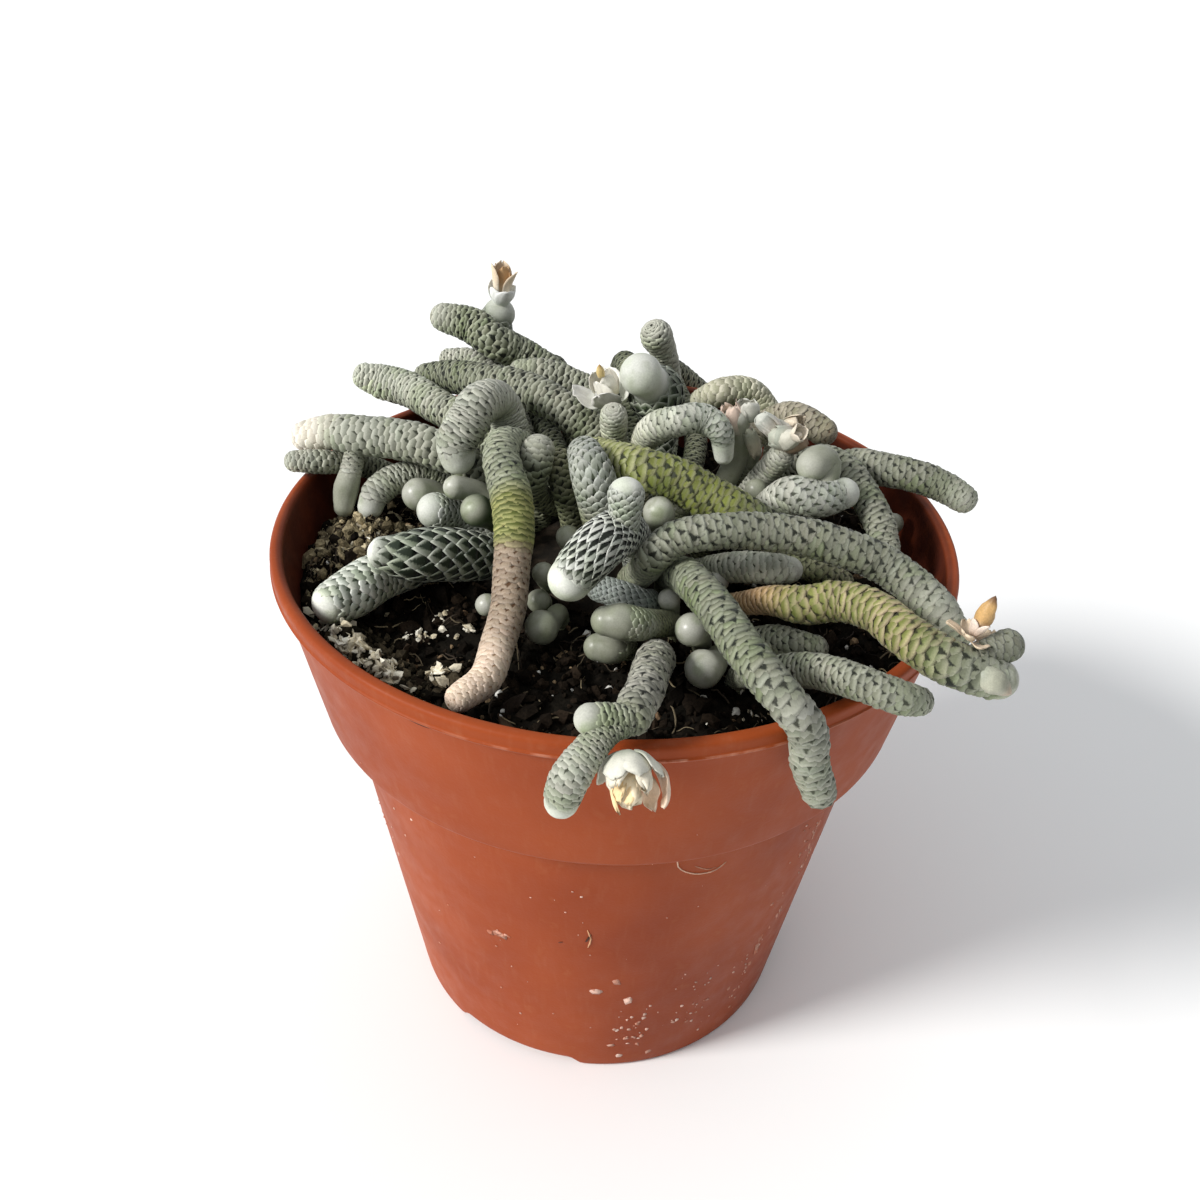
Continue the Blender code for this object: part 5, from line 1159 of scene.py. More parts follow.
def addThreads(bundle, paths, radius, tints, sides=5):
    # closed tubes along many paths at once: rings square to each run, ends narrowed and capped
    count, long = paths.shape[:2]
    run = unit(np.gradient(paths, axis=1))
    helper = np.where(np.abs(run[:, :1, 2:]) > 0.8, [[[1.0, 0, 0]]], [[[0, 0, 1.0]]])
    side = unit(np.cross(run, np.broadcast_to(helper, run.shape)))
    over = np.cross(run, side)
    angle = np.linspace(0, 2 * math.pi, sides, endpoint=False)
    width = radius * np.where(np.isin(np.arange(long), (0, long - 1)), 0.45, 1.0)
    points = (paths[:, :, None, :] + width[:, :, None, None]
              * (side[:, :, None, :] * np.cos(angle)[:, None] + over[:, :, None, :] * np.sin(angle)[:, None]))
    one = gridFaces(long, sides, wrap=True)
    step = np.arange(count)[:, None, None] * long * sides
    caps = np.stack([np.arange(sides)[::-1], (long - 1) * sides + np.arange(sides)])
    tint = np.repeat(tints[:, None, :], long * sides, axis=1)
    bundle.add(points, [(one[None] + step).reshape(-1, 4), (caps[None] + step).reshape(-1, sides)],
               tint.reshape(-1, 3))


# Soil and crown

soilSpec = {"edge": 48.75, "rings": 130, "steps": 300, "lumpSize": 5.0, "lumpRise": 0.55,
            "grainSize": 1.3, "grainRise": 1.0, "colour": (0.006, 0.005, 0.0035),
            "pale": (0.022, 0.016, 0.011)}


def soilTop(x, y):
    # the mound with lumps and grains of noise, fading under the crown
    p = np.stack([x, y, 0 * x], axis=-1)
    fine = soilSpec["lumpRise"] * smoothNoise(p, soilSpec["lumpSize"], 5, 2)
    grain = soilSpec["grainRise"] * smoothNoise(p, soilSpec["grainSize"], 9, 3)
    clump = np.exp(-((x - groundSpec["clumpPlace"][0]) ** 2 + (y - groundSpec["clumpPlace"][1]) ** 2) / 90.0)
    return soilHeight(x, y) - 0.35 + (fine + grain) * (1 + 0.9 * clump)


def buildSoil():
    s = potSpec
    slope = (s["bodyTop"] - s["base"]) / s["ledge"]
    r = np.linspace(0, 1, soilSpec["rings"])[1:, None] * soilSpec["edge"]
    turn = np.linspace(0, 2 * math.pi, soilSpec["steps"], endpoint=False)[None, :]
    x, y = r * np.cos(turn), r * np.sin(turn)
    top = np.stack([x, y, soilTop(x, y)], axis=-1)
    sides = [(48.3, 77.5), (s["bandFoot"] - s["wall"] - 0.1, 64.6), (s["bodyTop"] - s["wall"] - 0.4, 64.5),
             (s["base"] + slope * s["floor"] - s["wall"] - 0.4, s["floor"] + 0.25)]
    below = np.array([[[a * np.cos(t), a * np.sin(t), z] for t in turn[0]] for a, z in sides])
    grid = np.concatenate([top, below])
    rows, columns = grid.shape[:2]
    middle = [[0, 0, float(soilTop(np.zeros(1), np.zeros(1))[0])], [0, 0, s["floor"] + 0.25]]
    points = np.vstack([grid.reshape(-1, 3), middle])
    share = ease(0.1, 0.9, smoothNoise(points, 0.9, 14, 2))
    tint = blend(soilSpec["colour"], soilSpec["pale"], share)
    soil = makePiece("soil_bed", points, turnedFaces(rows, columns, -1), materials["soil"], {"tint": tint})
    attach(soil, "root")
    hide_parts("soil")
    print("soil laid")


def buildCrown():
    # a cushion, half an ellipsoid up and a flatter one down, with bark-like noise on its radius
    g = groundSpec
    turn = np.linspace(0, 2 * math.pi, 96, endpoint=False)[None, :]
    rise = np.linspace(math.pi / 2, -math.pi / 2, 34)[1:-1, None]
    r = g["crownRadius"] * np.cos(rise)
    z = g["crownLevel"] + np.where(rise > 0, g["crownRise"], g["crownSink"]) * np.sin(rise)
    points = np.stack([r * np.cos(turn), r * np.sin(turn), z + 0 * turn], axis=-1)
    rough = 0.35 * smoothNoise(points, 3.0, 21, 3) * np.clip(np.cos(rise), 0.2, 1)
    points = points + unit(points - [0, 0, g["crownLevel"] - 6]) * rough[..., None]
    rows, columns = points.shape[:2]
    whole = np.vstack([points.reshape(-1, 3), [[0, 0, g["crownLevel"] + g["crownRise"]],
                                               [0, 0, g["crownLevel"] - g["crownSink"]]]])
    tint = blend((0.012, 0.009, 0.006), (0.06, 0.042, 0.028), ease(-0.3, 0.6, smoothNoise(whole, 1.4, 25, 3)))
    crown = makePiece("crown_bark", whole, turnedFaces(rows, columns, -1), materials["crown"], {"tint": tint})
    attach(crown, "root")
    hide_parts("root_crown")
    print("crown made")


# Loose matter on the soil. Each kind of lump: mean size, its spread and least and most; least and
# most stretch, and stretch along each axis; roughness; and its colours from dark to pale, with the
# two powers of the beta draw between them, or none for an even draw
lumpKinds = {
    "crumb": (0.46, 0.5, (0.3, 3.4), (0.45, 1.3), (1, 1, 1), 0.16,
              (0.004, 0.003, 0.002), (0.045, 0.030, 0.019), (0.9, 5.0)),
    "heaped": (0.62, 0.4, (0.4, 2.2), (0.5, 1.25), (1, 1, 1), 0.2,
               (0.006, 0.005, 0.003), (0.24, 0.19, 0.12), (0.6, 2.4)),
    "clod": (0.62, 0.35, (0.5, 2.0), (0.6, 1.2), (1, 1, 1), 0.2,
             (0.030, 0.022, 0.010), (0.50, 0.41, 0.25), (1.0, 1.5)),
    "darkClod": (1.0, 0.35, (0.5, 1.8), (0.5, 1.2), (1, 1, 1), 0.2,
                 (0.004, 0.003, 0.002), (0.030, 0.020, 0.013), (1.0, 2.0)),
    "perlite": (0.42, 0.4, (0.4, 2.0), (0.75, 1.15), (1, 1, 1), 0.13,
                (0.50, 0.48, 0.42), (0.82, 0.81, 0.76), None),
    "rimFlake": (0.5, 0.4, (0.3, 2.2), (0.7, 1.2), (1.3, 0.8, 0.22), 0.2,
                 (0.10, 0.07, 0.04), (0.80, 0.75, 0.60), (0.8, 0.9)),
    "paleFlake": (1, 0.35, (0, 9), (0.7, 1.25), (1.25, 0.85, 0.42), 0.24,
                  (0.58, 0.50, 0.34), (0.90, 0.86, 0.74), None),
    "chip": (0.9, 0.4, (0.4, 2.4), (0.6, 1.3), (1.5, 0.7, 0.3), 0.18,
             (0.012, 0.008, 0.006), (0.18, 0.11, 0.06), (0.8, 3.5)),
}
# How many there are of each, the shares of brown and olive crumbs, and the fibres' sizes
looseSpec = {"crumbs": 5200, "clumpCrumbs": 1500, "perlite": 140, "flakes": 110, "fibres": 420,
             "clumpFibres": 420, "chips": 150, "clods": 190, "brown": 0.06, "olive": 0.45}
fibreSpec = {"length": (1.6, 5.5), "bend": 0.6, "lift": (0.1, 0.9), "tilt": 0.9, "arch": 0.9,
             "radius": (0.05, 0.15)}
# Heaps of crumbs against the wall: x, y, height, spread and count; and pale torn flakes lying
# in heaps: x, y, spread, count and size of each heap
heaps = [(-38.0, -25.5, 5.4, 3.2, 420), (-31.5, -31.0, 3.8, 2.8, 300), (-23.5, -31.0, 1.6, 2.4, 110)]
flakeHeaps = [(-37.0, -26.6, 1.9, 54, 0.6), (-30.8, -31.8, 1.6, 40, 0.55), (-34.6, -29.4, 1.8, 26, 0.5),
              (-24.0, -30.0, 1.4, 26, 0.5), (-21.4, -19.6, 1.1, 8, 0.6), (-25.6, -15.1, 1.4, 6, 0.55),
              (-28.4, -19.8, 2.6, 26, 0.36), (-41.0, 1.0, 4.2, 24, 0.42), (20.0, -36.0, 6.0, 12, 0.36)]


def kept(x, y, reach):
    # places drawn in towards the middle until they are within reach
    shrink = np.minimum(1, reach / np.hypot(x, y))
    return x * shrink, y * shrink


def discPlaces(count, low, high, rng):
    # places spread evenly over a ring of the soil
    r = np.sqrt(rng.uniform(low ** 2, high ** 2, count))
    a = rng.uniform(0, 2 * math.pi, count)
    return r * np.cos(a), r * np.sin(a)


def clumpPlaces(count, spread, rng):
    # places in a bell-shaped cloud round the raised clump
    x = groundSpec["clumpPlace"][0] + rng.normal(0, spread, count)
    y = groundSpec["clumpPlace"][1] + rng.normal(0, spread * 1.3, count)
    return kept(x, y, 47.5)


def heapPlaces(count, cx, cy, spread, reach, rng):
    return kept(cx + rng.normal(0, spread, count), cy + rng.normal(0, spread, count), reach)


def pileTop(x, y):
    # the soil with the heaps on it, each a bell curve
    rise = sum(high * np.exp(-((x - cx) ** 2 + (y - cy) ** 2) / (2 * spread ** 2))
               for cx, cy, high, spread, _ in heaps)
    return soilTop(x, y) + rise


def mixedTints(dark, pale, powers, count, rng):
    return blend(dark, pale, rng.beta(*powers, count) if powers else rng.uniform(0, 1, count))


def scatter(bundle, kind, x, y, height, rng, scale=1, repaint=None):
    # lumps of one kind at these places; height gives each one's level from its size
    mean, spread, limits, stretch, axes, rough, dark, pale, powers = lumpKinds[kind]
    size = scale * mean * rng.lognormal(0, spread, len(x)).clip(*limits)
    places = np.stack([x, y, height(size)], axis=1)
    scales = size[:, None] * np.array([axes]) * rng.uniform(*stretch, (len(x), 3))
    tints = mixedTints(dark, pale, powers, len(x), rng)
    if repaint:
        repaint(tints)
    addLumps(bundle, places, randomFrames(len(x), rng), scales, tints, rng, rough)


def buildLoose():
    s = looseSpec
    rng = np.random.default_rng(77)

    def repaint(tints):
        # some crumbs are brown, and many of the raised clump's are olive
        brown = rng.uniform(0, 1, len(tints)) < s["brown"]
        tints[brown] = mixedTints((0.10, 0.06, 0.035), (0.24, 0.17, 0.10), None, brown.sum(), rng)
        olive = (np.arange(len(tints)) >= s["crumbs"]) & (rng.uniform(0, 1, len(tints)) < s["olive"])
        tints[olive] = mixedTints((0.14, 0.11, 0.06), (0.58, 0.50, 0.33), None, olive.sum(), rng)

    bundle = Bundle()
    x, y = np.hstack([discPlaces(s["crumbs"], 12, 48.0, rng), clumpPlaces(s["clumpCrumbs"], 5.5, rng)])
    scatter(bundle, "crumb", x, y, lambda size: soilTop(x, y) + 0.25 * size, rng, repaint=repaint)
    for cx, cy, _, spread, count in heaps:
        x, y = heapPlaces(count, cx, cy, spread, 48.0, rng)
        low = soilTop(x, y)
        scatter(bundle, "heaped", x, y,
                lambda size: low + (pileTop(x, y) - low) * rng.beta(2.5, 1.0, len(size)), rng)
    x, y = clumpPlaces(s["clods"], 4.2, rng)
    scatter(bundle, "clod", x, y, lambda size: soilTop(x, y) + rng.uniform(0, 1.8, len(size)), rng)
    x, y = discPlaces(s["clods"] * 2, 14, 46.5, rng)
    scatter(bundle, "darkClod", x, y, lambda size: soilTop(x, y) + 0.1 * size, rng)
    crumbs = bundle.piece("soil_crumbs", materials["soil"], smooth=False)

    bundle = Bundle()
    x, y = discPlaces(s["perlite"], 15, 47.0, rng)
    scatter(bundle, "perlite", x, y, lambda size: soilTop(x, y) + 0.35 * size, rng)
    turn = np.radians(rng.uniform(195, 238, s["flakes"]))
    r = rng.uniform(43.0, 48.6, s["flakes"])
    x, y = r * np.cos(turn), r * np.sin(turn)
    scatter(bundle, "rimFlake", x, y, lambda size: pileTop(x, y) + 0.3 + rng.uniform(0, 1.4, len(size)), rng)
    for cx, cy, spread, count, grain in flakeHeaps:
        x, y = heapPlaces(count, cx, cy, spread * 0.6, 48.2, rng)
        scatter(bundle, "paleFlake", x, y,
                lambda size: pileTop(x, y) + 0.3 + rng.uniform(0, 0.9, len(size)), rng, grain)
    x, y = discPlaces(s["chips"], 15, 47.5, rng)
    scatter(bundle, "chip", x, y, lambda size: soilTop(x, y) + 0.25 * size, rng)
    grit = bundle.piece("perlite_grit", materials["grit"], smooth=False)

    bundle = Bundle()
    x, y = np.hstack([discPlaces(s["fibres"], 16, 46.5, rng), clumpPlaces(s["clumpFibres"], 5.0, rng)])
    count = len(x)
    f = fibreSpec
    heading = rng.uniform(0, 2 * math.pi, count)
    length = rng.uniform(*f["length"], count)
    bend = rng.normal(0, f["bend"], count)
    t = np.linspace(-0.5, 0.5, 9)[None, :]
    way = heading[:, None] + bend[:, None] * t
    px, py = kept(x[:, None] + length[:, None] * t * np.cos(way),
                  y[:, None] + length[:, None] * t * np.sin(way), 47.9)
    rise = rng.uniform(*f["lift"], count)[:, None] + rng.normal(0, f["tilt"], count)[:, None] * t
    rise = rise + f["arch"] * (0.25 - t ** 2)
    paths = np.stack([px, py, soilTop(px, py) + rise.clip(0.05, 3)], axis=-1)
    radius = rng.uniform(*f["radius"], count)[:, None] * np.ones_like(t)
    tints = mixedTints((0.020, 0.012, 0.008), (0.46, 0.37, 0.22), (0.7, 3.0), count, rng)
    addThreads(bundle, paths, radius, tints)
    straws = bundle.piece("soil_fibres", materials["straw"])
    for piece in (crumbs, grit, straws):
        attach(piece, "root")
    print("loose matter scattered")


# Pot: turned wall with a rounded lip, a ledge and three shallow arches in the foot

def wallRadius(z):
    # outer radius of the pot at a height: the tapered body below the ledge, the band above it
    s = potSpec
    body = s["base"] + (s["bodyTop"] - s["base"]) * z / s["ledge"]
    lipFoot = s["height"] - s["lipHeight"] - 0.4
    share = (z - s["ledge"] - 0.8) / (lipFoot - s["ledge"] - 0.8)
    return np.where(z < s["ledge"], body, s["bandFoot"] + (s["bandTop"] - s["bandFoot"]) * share)


def wallPoints(angle, z, out):
    # points this far outside the wall
    r = wallRadius(z) + out
    return np.stack([r * np.cos(angle), r * np.sin(angle), z], axis=1)


def wallFrames(angle):
    # sideways, upward and outward axes of the wall at each angle
    flat, one = 0 * angle, 0 * angle + 1.0
    outward = np.stack([np.cos(angle), np.sin(angle), flat], axis=1)
    sideways = np.stack([-np.sin(angle), np.cos(angle), flat], axis=1)
    return np.stack([sideways, np.stack([flat, flat, one], axis=1), outward], axis=1)


def filletProfile(corners, spacing):
    # corners (r, z, fillet) joined by straight runs, each corner rounded by a quadratic arc that
    # starts and ends a fillet away from it; long runs get a point every spacing
    spots = [corners[0][:2]]
    places = np.array([c[:2] for c in corners], dtype=float)
    for before, here, after, corner in zip(places[:-2], places[1:-1], places[2:], corners[1:-1]):
        reach = corner[2]
        start = here + unit(before - here) * min(reach, 0.49 * np.linalg.norm(before - here))
        end = here + unit(after - here) * min(reach, 0.49 * np.linalg.norm(after - here))
        t = np.linspace(0, 1, 6)[:, None] if reach > 0 else np.array([[0.5]])
        spots.extend(((1 - t) ** 2 * start + 2 * t * (1 - t) * here + t ** 2 * end).tolist())
    spots.append(corners[-1][:2])
    spots = np.array(spots, dtype=float)
    whole = [spots[:1]]
    for a, b in zip(spots[:-1], spots[1:]):
        count = max(1, int(np.linalg.norm(b - a) / spacing))
        whole.append(a + (b - a) * np.linspace(0, 1, count + 1)[1:, None])
    return np.vstack(whole)


def potCorners():
    s = potSpec
    lipFoot = s["height"] - s["lipHeight"]
    slope = (s["bodyTop"] - s["base"]) / s["ledge"]
    innerLedge = s["ledge"] + s["wall"]
    arch = s["archInner"]
    return [
        (0, s["floor"], 0),
        (s["base"] + slope * s["floor"] - s["wall"], s["floor"], 1.2),
        (s["bodyTop"] - s["wall"], innerLedge, 0.5),
        (s["bandFoot"] - s["wall"] + 0.2, innerLedge, 0.6),
        (s["bandTop"] - s["wall"], lipFoot, 0.4),
        (s["lipInner"] - 0.12, s["height"] - 1.0, 0),
        (s["lipInner"], s["height"], 0.8),
        (s["lipRadius"], s["height"], 0.95),
        (s["lipRadius"] - 0.18, lipFoot + 0.55, 0.2),
        (s["lipRadius"] + 0.08, lipFoot + 0.25, 0.14),
        (s["lipRadius"] - 0.12, lipFoot - 0.12, 0.14),
        (s["bandTop"] + 0.02, lipFoot - 0.25, 0.25),
        (s["bandFoot"] + 0.05, s["ledge"] + 0.7, 0.5),
        (s["bandFoot"] - 0.75, s["ledge"], 0.3),
        (s["bodyTop"], s["ledge"], 0.5),
        (s["base"], 0.0, s["baseRound"]),
        (arch + 0.15, 0.0, 0),
        (arch - 0.15, 0.0, 0),
        (0, 0.0, 0),
    ]


def archRise(r, turn):
    # height cut from the foot at a radius and angle: full inside an arch, sloping at its ends
    s = potSpec
    rise = 0.0
    for angle in s["archAngles"]:
        off = (turn - math.radians(angle) + math.pi) % (2 * math.pi) - math.pi
        across = np.abs(r * np.sin(off))
        share = np.clip((s["archWidth"] / 2 - across) / s["archSlope"], 0, 1) * (np.cos(off) > 0)
        rise = np.maximum(rise, s["archHeight"] * share * share * (3 - 2 * share))
    return rise


# The plastic's colours; the darkest is soil stain with painted shade, the palest a painted
# highlight
plasticLook = {"colour": (0.335, 0.064, 0.015), "dark": (0.265, 0.045, 0.010),
               "dust": (0.43, 0.18, 0.095), "stainAndShade": (0.070, 0.016, 0.009), "highlightColour": (0.62, 0.30, 0.20)}

# Stains, painted shade and a painted highlight: the levels between which the soil's stain and
# painted shade set in on the inside; on the lip's top, the part of its width, the lowest level,
# the side (as a sine) and the strength of its painted shade, which leaves the lit front clear;
# then the angle and width of the painted highlight line under the lip, in radians
stainShadeAndHighlight = {"inside": (89.7, 88.9), "lip": (0.42, 0.72), "lipLevel": 89.0, "lipSide": (-0.8, -0.3),
        "lipShadeShare": 0.72, "highlightAt": 4.85, "highlightWidth": 0.42}


def potMaterial():
    # satin terracotta plastic: base colour made uneven by large and small noise, a little pale
    # dust where the noise peaks, faint upright wear streaks, a fine moulded grain, a dark colour
    # from one attribute, soil stain with painted shade inside the pot and painted shade on the
    # lip's top, and a broken pale line from another, a painted highlight under the lip
    look = plasticLook
    material, tree, shader, place = newMaterial("pot_plastic")
    large, small = noiseNode(tree, place, 26, 2.0), noiseNode(tree, place, 3.5, 4.0)
    grain = noiseNode(tree, place, 0.5, 2.0)
    upright = addNode(tree, "ShaderNodeMapping", {"Vector": place}, Scale=(1.0, 1.0, 0.08))
    streak = addNode(tree, "ShaderNodeTexNoise", {"Vector": upright.outputs["Vector"]}, Scale=900.0,
                     Detail=3.0).outputs["Fac"]
    # soil stain and painted shade, its strength varied a little by noise
    stainAndShade = mathNode(tree, "MULTIPLY", attribute(tree, "stainAndShade", "Fac"),
                     rangeNode(tree, small, 0.3, 0.6, 0.86, 1.0))
    # painted highlight under the lip, broken up by noise
    lipHighlight = mathNode(tree, "MULTIPLY", attribute(tree, "lipHighlight", "Fac"),
                      rangeNode(tree, small, 0.44, 0.60, 0, 0.7))
    colour = look["colour"]
    for share, second in ((rangeNode(tree, large, 0.35, 0.65, 0, 1), "dark"),
                          (rangeNode(tree, streak, 0.54, 0.78, 0, 0.10), "dust"),
                          (rangeNode(tree, small, 0.62, 0.80, 0, 0.22), "dust"),
                          (stainAndShade, "stainAndShade"), (lipHighlight, "highlightColour")):
        colour = mixNode(tree, share, colour, look[second])
    bump = addNode(tree, "ShaderNodeBump", {"Height": grain}, Strength=0.25, Distance=0.00012)
    tree.links.new(colour, shader.inputs["Base Color"])
    tree.links.new(rangeNode(tree, small, 0.3, 0.7, 0.40, 0.56), shader.inputs["Roughness"])
    tree.links.new(bump.outputs["Normal"], shader.inputs["Normal"])
    shader.inputs["Specular IOR Level"].default_value = 0.13
    return material


def buildPot():
    # the profile turned about the upright axis: rows near the foot rise with the arches and keep
    # to the wall, and the whole wall waves a few hundredths
    s = potSpec
    profile = filletProfile(potCorners(), 2.0)[1:-1]
    turn = np.linspace(0, 2 * math.pi, s["steps"], endpoint=False)[None, :]
    r = profile[:, :1] + 0 * turn
    z = profile[:, 1:] + 0 * turn
    row = np.arange(len(profile))[:, None]
    outside = row > np.argmax(profile[:, 1])
    rise = archRise(np.minimum(r, s["base"]), turn) * outside * (r > s["archInner"])
    lifted = z + rise * np.clip(1 - z / s["archFade"], 0, 1)
    wall = (r > s["base"] - 0.05) | (z > 0.3)
    slope = (s["bodyTop"] - s["base"]) / s["ledge"]
    r = r + np.where(outside & wall & (z < s["archFade"]), slope * (lifted - z), 0)
    z = lifted
    points = np.stack([r * np.cos(turn), r * np.sin(turn), z + 0 * r], axis=-1)
    wave = 0.05 * smoothNoise(points, 18.0, 71) + 0.012 * smoothNoise(points, 2.5, 72)
    radial = np.stack([np.cos(turn) + 0 * r, np.sin(turn) + 0 * r, 0 * r], axis=-1)
    points = points + radial * (wave * (z > 1))[..., None]
    rows, columns = points.shape[:2]
    whole = np.vstack([points.reshape(-1, 3), [[0, 0, s["floor"]], [0, 0, 0]]])
    # soil stain and painted shade on the inner wall below the rim
    inside = (row < np.argmax(profile[:, 1]) - 1) * ease(*stainShadeAndHighlight["inside"], z)
    # painted shade on the lip's top at the sides and back, clear at the lit front
    inward = (s["lipRadius"] - r) / (s["lipRadius"] - s["lipInner"])
    paintedLipShade = ease(*stainShadeAndHighlight["lip"], inward) * (z > stainShadeAndHighlight["lipLevel"]) * ease(*stainShadeAndHighlight["lipSide"], np.sin(turn))
    inside = np.maximum(inside, stainShadeAndHighlight["lipShadeShare"] * paintedLipShade)
    # painted highlight: a pale line round the lip's foot, strongest at one angle
    lipFoot = s["height"] - s["lipHeight"]
    under = outside * (z > lipFoot - 0.05) * (z < lipFoot + 0.45)
    highlightLine = under * np.exp(-((turn - stainShadeAndHighlight["highlightAt"]) / stainShadeAndHighlight["highlightWidth"]) ** 2)
    stainAndShade = np.concatenate([inside.ravel(), [1, 0]])[:, None] * np.ones(3)
    lipHighlight = np.concatenate([highlightLine.ravel(), [0, 0]])[:, None] * np.ones(3)
    pot = makePiece("pot_moulded", whole, turnedFaces(rows, columns, -1), potMaterial(),
                    {"stainAndShade": stainAndShade, "lipHighlight": lipHighlight})
    drills = Bundle()
    for angle in s["archAngles"]:
        a = math.radians(angle)
        ring = np.linspace(0, 2 * math.pi, 32, endpoint=False)
        cx, cy = s["drainDistance"] * math.cos(a), s["drainDistance"] * math.sin(a)
        x, y = cx + s["drainRadius"] * np.cos(ring), cy + s["drainRadius"] * np.sin(ring)
        ends = (-3.0, s["floor"] + 3.0)
        rings = [np.stack([x, y, np.full(len(ring), h)], axis=1) for h in ends]
        poles = [[cx, cy, h] for h in ends]
        drills.add(np.vstack([*rings, poles]), turnedFaces(2, len(ring)), (0, 0, 0))
    drill = drills.piece("drain_drills", materials["soil"])
    holes = pot.modifiers.new("drains", "BOOLEAN")
    holes.operation, holes.object, holes.solver = "DIFFERENCE", drill, "EXACT"
    bpy.context.view_layer.update()
    drilled = bpy.data.meshes.new_from_object(pot.evaluated_get(bpy.context.evaluated_depsgraph_get()))
    pot.modifiers.clear()
    pot.data = drilled
    bpy.data.objects.remove(drill, do_unlink=True)
    while len(pot.data.materials) > 1:
        pot.data.materials.pop()
    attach(pot, "root")
    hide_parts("pot")
    print("pot turned:", len(pot.data.polygons), "faces")


# Marks on the pot's wall: clusters of dried specks, as (angle in degrees, height, spread in
# degrees, spread in height, count, size), and fibres stuck to it as routes of (angle, height)
specks = [
    (-79.5, 12.5, 6.5, 9.0, 30, 0.30), (-81, 22, 1.5, 1.0, 2, 0.7), (-62, 14, 8, 10, 30, 0.20),
    (-40, 38, 5, 24, 22, 0.22), (-48, 16, 7, 12, 26, 0.20), (-95, 45, 40, 14, 16, 0.12),
    (-100, 20, 50, 14, 16, 0.12), (-91, 25, 1.5, 0.6, 2, 0.5), (-86, 28, 1.5, 0.6, 2, 0.4),
    (20, 35, 60, 25, 26, 0.18), (110, 40, 60, 28, 40, 0.20), (200, 35, 40, 25, 30, 0.18),
    (100, 74, 90, 10, 22, 0.14),
]
# Faint rubbed smears: angle, height, half width, half height and count of flat flakes
smears = [(-114.0, 36.0, 1.7, 0.8, 16), (-36.0, 50.0, 0.7, 2.4, 12), (-33.5, 42.0, 0.6, 2.6, 12),
          (-38.0, 30.0, 0.6, 2.2, 10), (-44.0, 24.0, 0.8, 2.0, 10)]
wallFibres = [
    ([(-76.0, 60.4), (-75.0, 57.6), (-71.5, 55.6), (-67.5, 55.2), (-65.0, 56.6)], 0.11, (0.74, 0.50, 0.36)),
    ([(-72.0, 57.6), (-69.0, 56.0), (-67.0, 56.0)], 0.06, (0.62, 0.38, 0.26)),
    ([(-81.0, 60.8), (-80.6, 59.4)], 0.09, (0.66, 0.36, 0.25)),
    ([(-59.5, 61.6), (-60.6, 59.4)], 0.10, (0.62, 0.34, 0.24)),
    ([(-92.6, 42.6), (-91.8, 40.2), (-92.4, 37.8)], 0.15, (0.62, 0.34, 0.18)),
    ([(-91.8, 41.4), (-92.9, 39.4)], 0.20, (0.05, 0.02, 0.012)),
    ([(-98.0, 38.6), (-99.0, 38.2)], 0.10, (0.12, 0.04, 0.025)),
    ([(-112.0, 60.6), (-110.0, 60.4)], 0.10, (0.74, 0.52, 0.40)),
    ([(-121.0, 86.5), (-118.5, 86.3), (-116.0, 86.4)], 0.13, (0.03, 0.012, 0.008)),
    ([(80.0, 50.0), (84.0, 47.0), (88.0, 47.5)], 0.09, (0.60, 0.48, 0.34)),
    ([(170.0, 30.0), (172.0, 27.0), (171.0, 24.0)], 0.10, (0.60, 0.48, 0.34)),
]
markSpec = {"lowest": 3.5, "highest": 84, "ledgeGap": 1.6, "speckThick": 0.09,
            "smearSize": 0.42, "smearThick": 0.035}


def buildPotMarks():
    m = markSpec
    rng = np.random.default_rng(31)
    bundle = Bundle()
    angle, z, size = [], [], []
    for centre, height, spreadA, spreadZ, count, grain in specks:
        angle.append(np.radians(centre + rng.normal(0, spreadA * 0.5, count)))
        z.append((height + rng.normal(0, spreadZ * 0.5, count)).clip(m["lowest"], m["highest"]))
        size.append(grain * rng.lognormal(0, 0.45, count))
    angle, z, size = (np.concatenate(part) for part in (angle, z, size))
    keep = np.abs(z - potSpec["ledge"]) > m["ledgeGap"]
    angle, z, size = angle[keep], z[keep], size[keep]
    scale = np.stack([size, size * rng.uniform(0.5, 1.3, len(size)), m["speckThick"] + 0 * size], axis=1)
    tint = blend((0.46, 0.19, 0.12), (0.74, 0.56, 0.47), rng.beta(1.0, 1.4, len(size)))
    addLumps(bundle, wallPoints(angle, z, 0.02), wallFrames(angle), scale, tint, rng, 0.28)
    for centre, height, wide, high, count in smears:
        a = math.radians(centre) + rng.normal(0, wide * 0.5, count) / float(wallRadius(np.array(height)))
        h = height + rng.normal(0, high * 0.5, count)
        flake = m["smearSize"] * rng.lognormal(0, 0.4, count)
        scale = np.stack([flake * min(1, wide), flake * min(1.6, high), m["smearThick"] + 0 * flake], axis=1)
        tint = blend((0.40, 0.13, 0.07), (0.56, 0.30, 0.22), rng.uniform(0, 1, count))
        addLumps(bundle, wallPoints(a, h, 0.01), wallFrames(a), scale, tint, rng, 0.25)
    for route, radius, colour in wallFibres:
        route = np.array(route)
        dense = smoothRoute(np.column_stack([route, route[:, :1] * 0, route[:, :1] * 0 + radius]), 1.2)
        run = wallPoints(np.radians(dense[:, 0]), dense[:, 1], 0.05)
        addThreads(bundle, run[None], np.full((1, len(run)), radius), np.array([colour]))
    piece = bundle.piece("pot_marks", materials["straw"])
    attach(piece, "root")
    print("pot marks made:", len(size), "specks,", len(smears), "smears and", len(wallFibres), "fibres")


# Stage: pale floor, soft sky, one broad low light from the left, and the camera

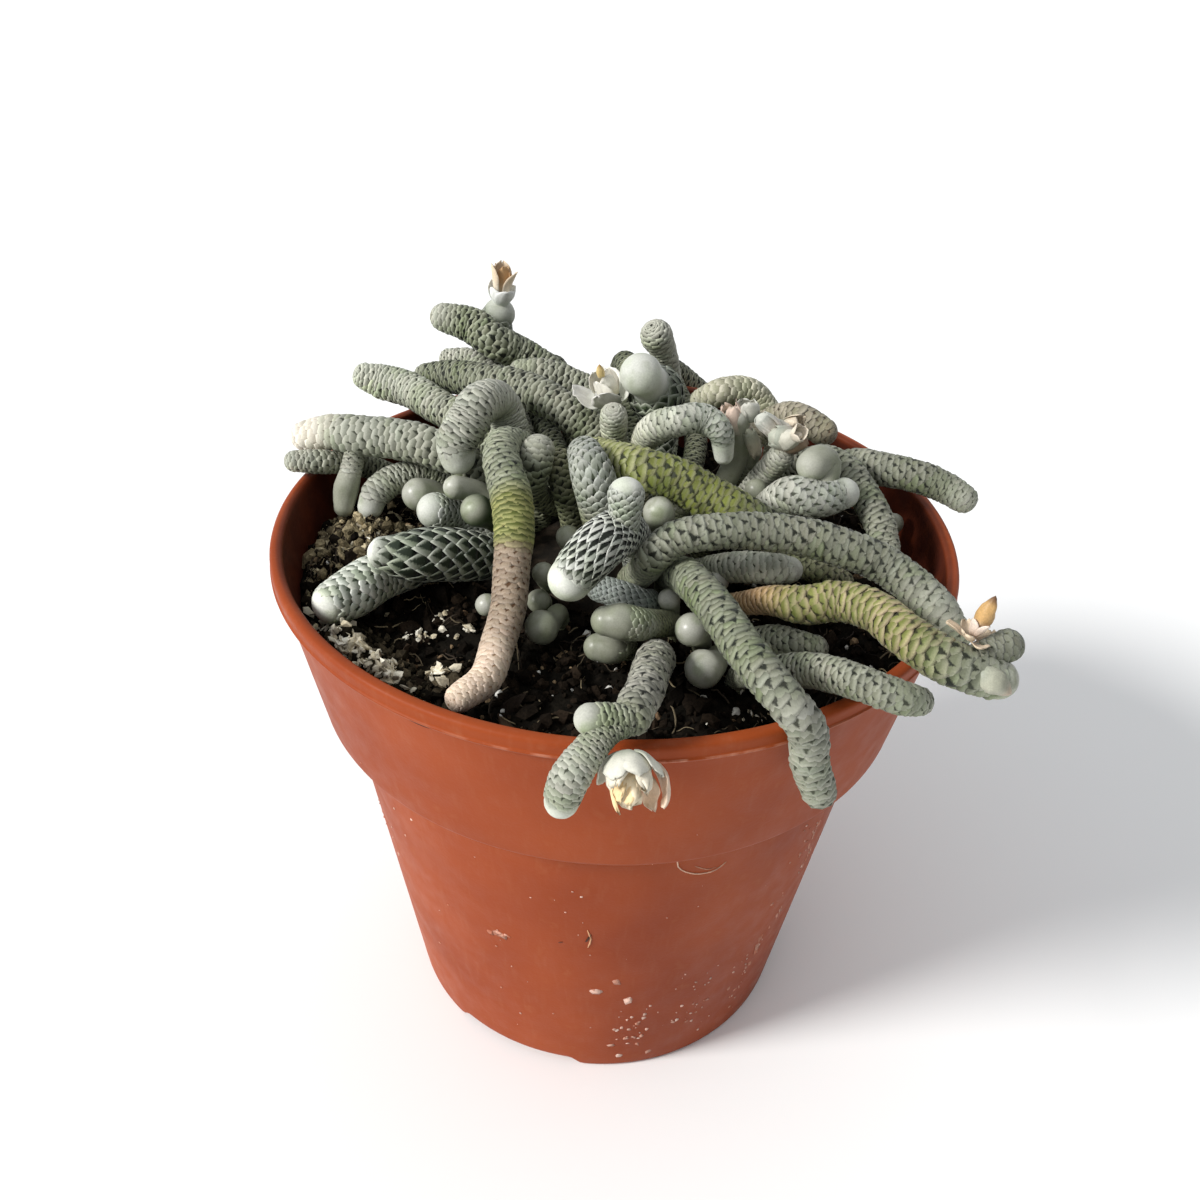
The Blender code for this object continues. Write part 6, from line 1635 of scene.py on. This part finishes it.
stageSpec = {"floor": 4.0, "floorColour": (0.97, 0.97, 0.965), "sky": 0.70, "sun": 3.2,
             "sunFrom": (-0.80, -0.35, 0.60), "sunSpread": 16.0,
             "dimFrom": (0.76, -0.50, -0.42), "dimmest": 0.08}
cameraSpec = {"target": (-1.935, 0.0, 75.308), "down": 34.751, "away": 206.373, "roll": 2.306,
              "lens": 38.26}


def placed(right, up, back, place):
    # a matrix with these axes and this origin
    return Matrix([*np.stack([right, up, back, place], axis=1).tolist(), [0, 0, 0, 1]])


def buildStage():
    half = stageSpec["floor"] / mm / 2
    corners = half * np.array([(-1, -1, 0), (1, -1, 0), (1, 1, 0), (-1, 1, 0)]) - [0, 0, 0.02]
    material, _, shader, _ = newMaterial("floor_paper")
    shader.inputs["Base Color"].default_value = (*stageSpec["floorColour"], 1.0)
    shader.inputs["Roughness"].default_value = 0.9
    shader.inputs["Specular IOR Level"].default_value = 0.1
    floor = makePiece("floor", corners, [np.array([[0, 1, 2, 3]])], material)
    world = bpy.data.worlds.new("sky")
    bpy.context.scene.world = world
    world.use_nodes = True
    # the sky is dim low on the right, where a room has no window, but looks the same all round
    tree, sky = world.node_tree, stageSpec["sky"]
    background = tree.nodes["Background"]
    background.inputs["Color"].default_value = (0.97, 1.0, 1.03, 1.0)
    place = addNode(tree, "ShaderNodeTexCoord").outputs["Generated"]
    facing = addNode(tree, "ShaderNodeVectorMath", {0: place}, operation="DOT_PRODUCT")
    facing.inputs[1].default_value = unit(np.array(stageSpec["dimFrom"]))
    dim = rangeNode(tree, facing.outputs["Value"], 0.05, 0.6, sky, sky * stageSpec["dimmest"])
    seen = mathNode(tree, "MULTIPLY", addNode(tree, "ShaderNodeLightPath").outputs["Is Camera Ray"], sky)
    tree.links.new(mathNode(tree, "MAXIMUM", dim, seen), background.inputs["Strength"])
    lamp = bpy.data.lights.new("window", "SUN")
    lamp.energy = stageSpec["sun"]
    lamp.angle = math.radians(stageSpec["sunSpread"])
    lamp.color = (1.0, 0.99, 0.97)
    sun = bpy.data.objects.new("window", lamp)
    bpy.context.scene.collection.objects.link(sun)
    back = unit(np.array(stageSpec["sunFrom"]))
    side = unit(np.cross(-back, [0, 0, 1.0]))
    sun.matrix_world = placed(side, np.cross(side, -back), back, 0.3 * back)
    bpy.context.scene.view_settings.view_transform = "Standard"


def buildCamera():
    # looks down at the target from the front, rolled a little about its own axis
    down, roll = math.radians(cameraSpec["down"]), math.radians(cameraSpec["roll"])
    forward = np.array([0, math.cos(down), -math.sin(down)])
    level = np.array([1.0, 0, 0])
    upright = np.cross(level, forward)
    right = math.cos(roll) * level + math.sin(roll) * upright
    up = -math.sin(roll) * level + math.cos(roll) * upright
    place = (np.array(cameraSpec["target"]) - forward * cameraSpec["away"]) * mm
    lens = bpy.data.cameras.new("camera")
    lens.lens = cameraSpec["lens"]
    lens.sensor_width = 36.0
    lens.clip_start = 0.01
    camera = bpy.data.objects.new("camera", lens)
    bpy.context.scene.collection.objects.link(camera)
    camera.matrix_world = placed(right, up, -forward, place)
    bpy.context.scene.camera = camera


buildCamera()
buildStage()
settled = settledRoutes()
print("routes settled")
buildStems(settled)
buildFlowers(settled)
buildTinyBuds()
buildPot()
buildPotMarks()
buildSoil()
buildCrown()
buildLoose()
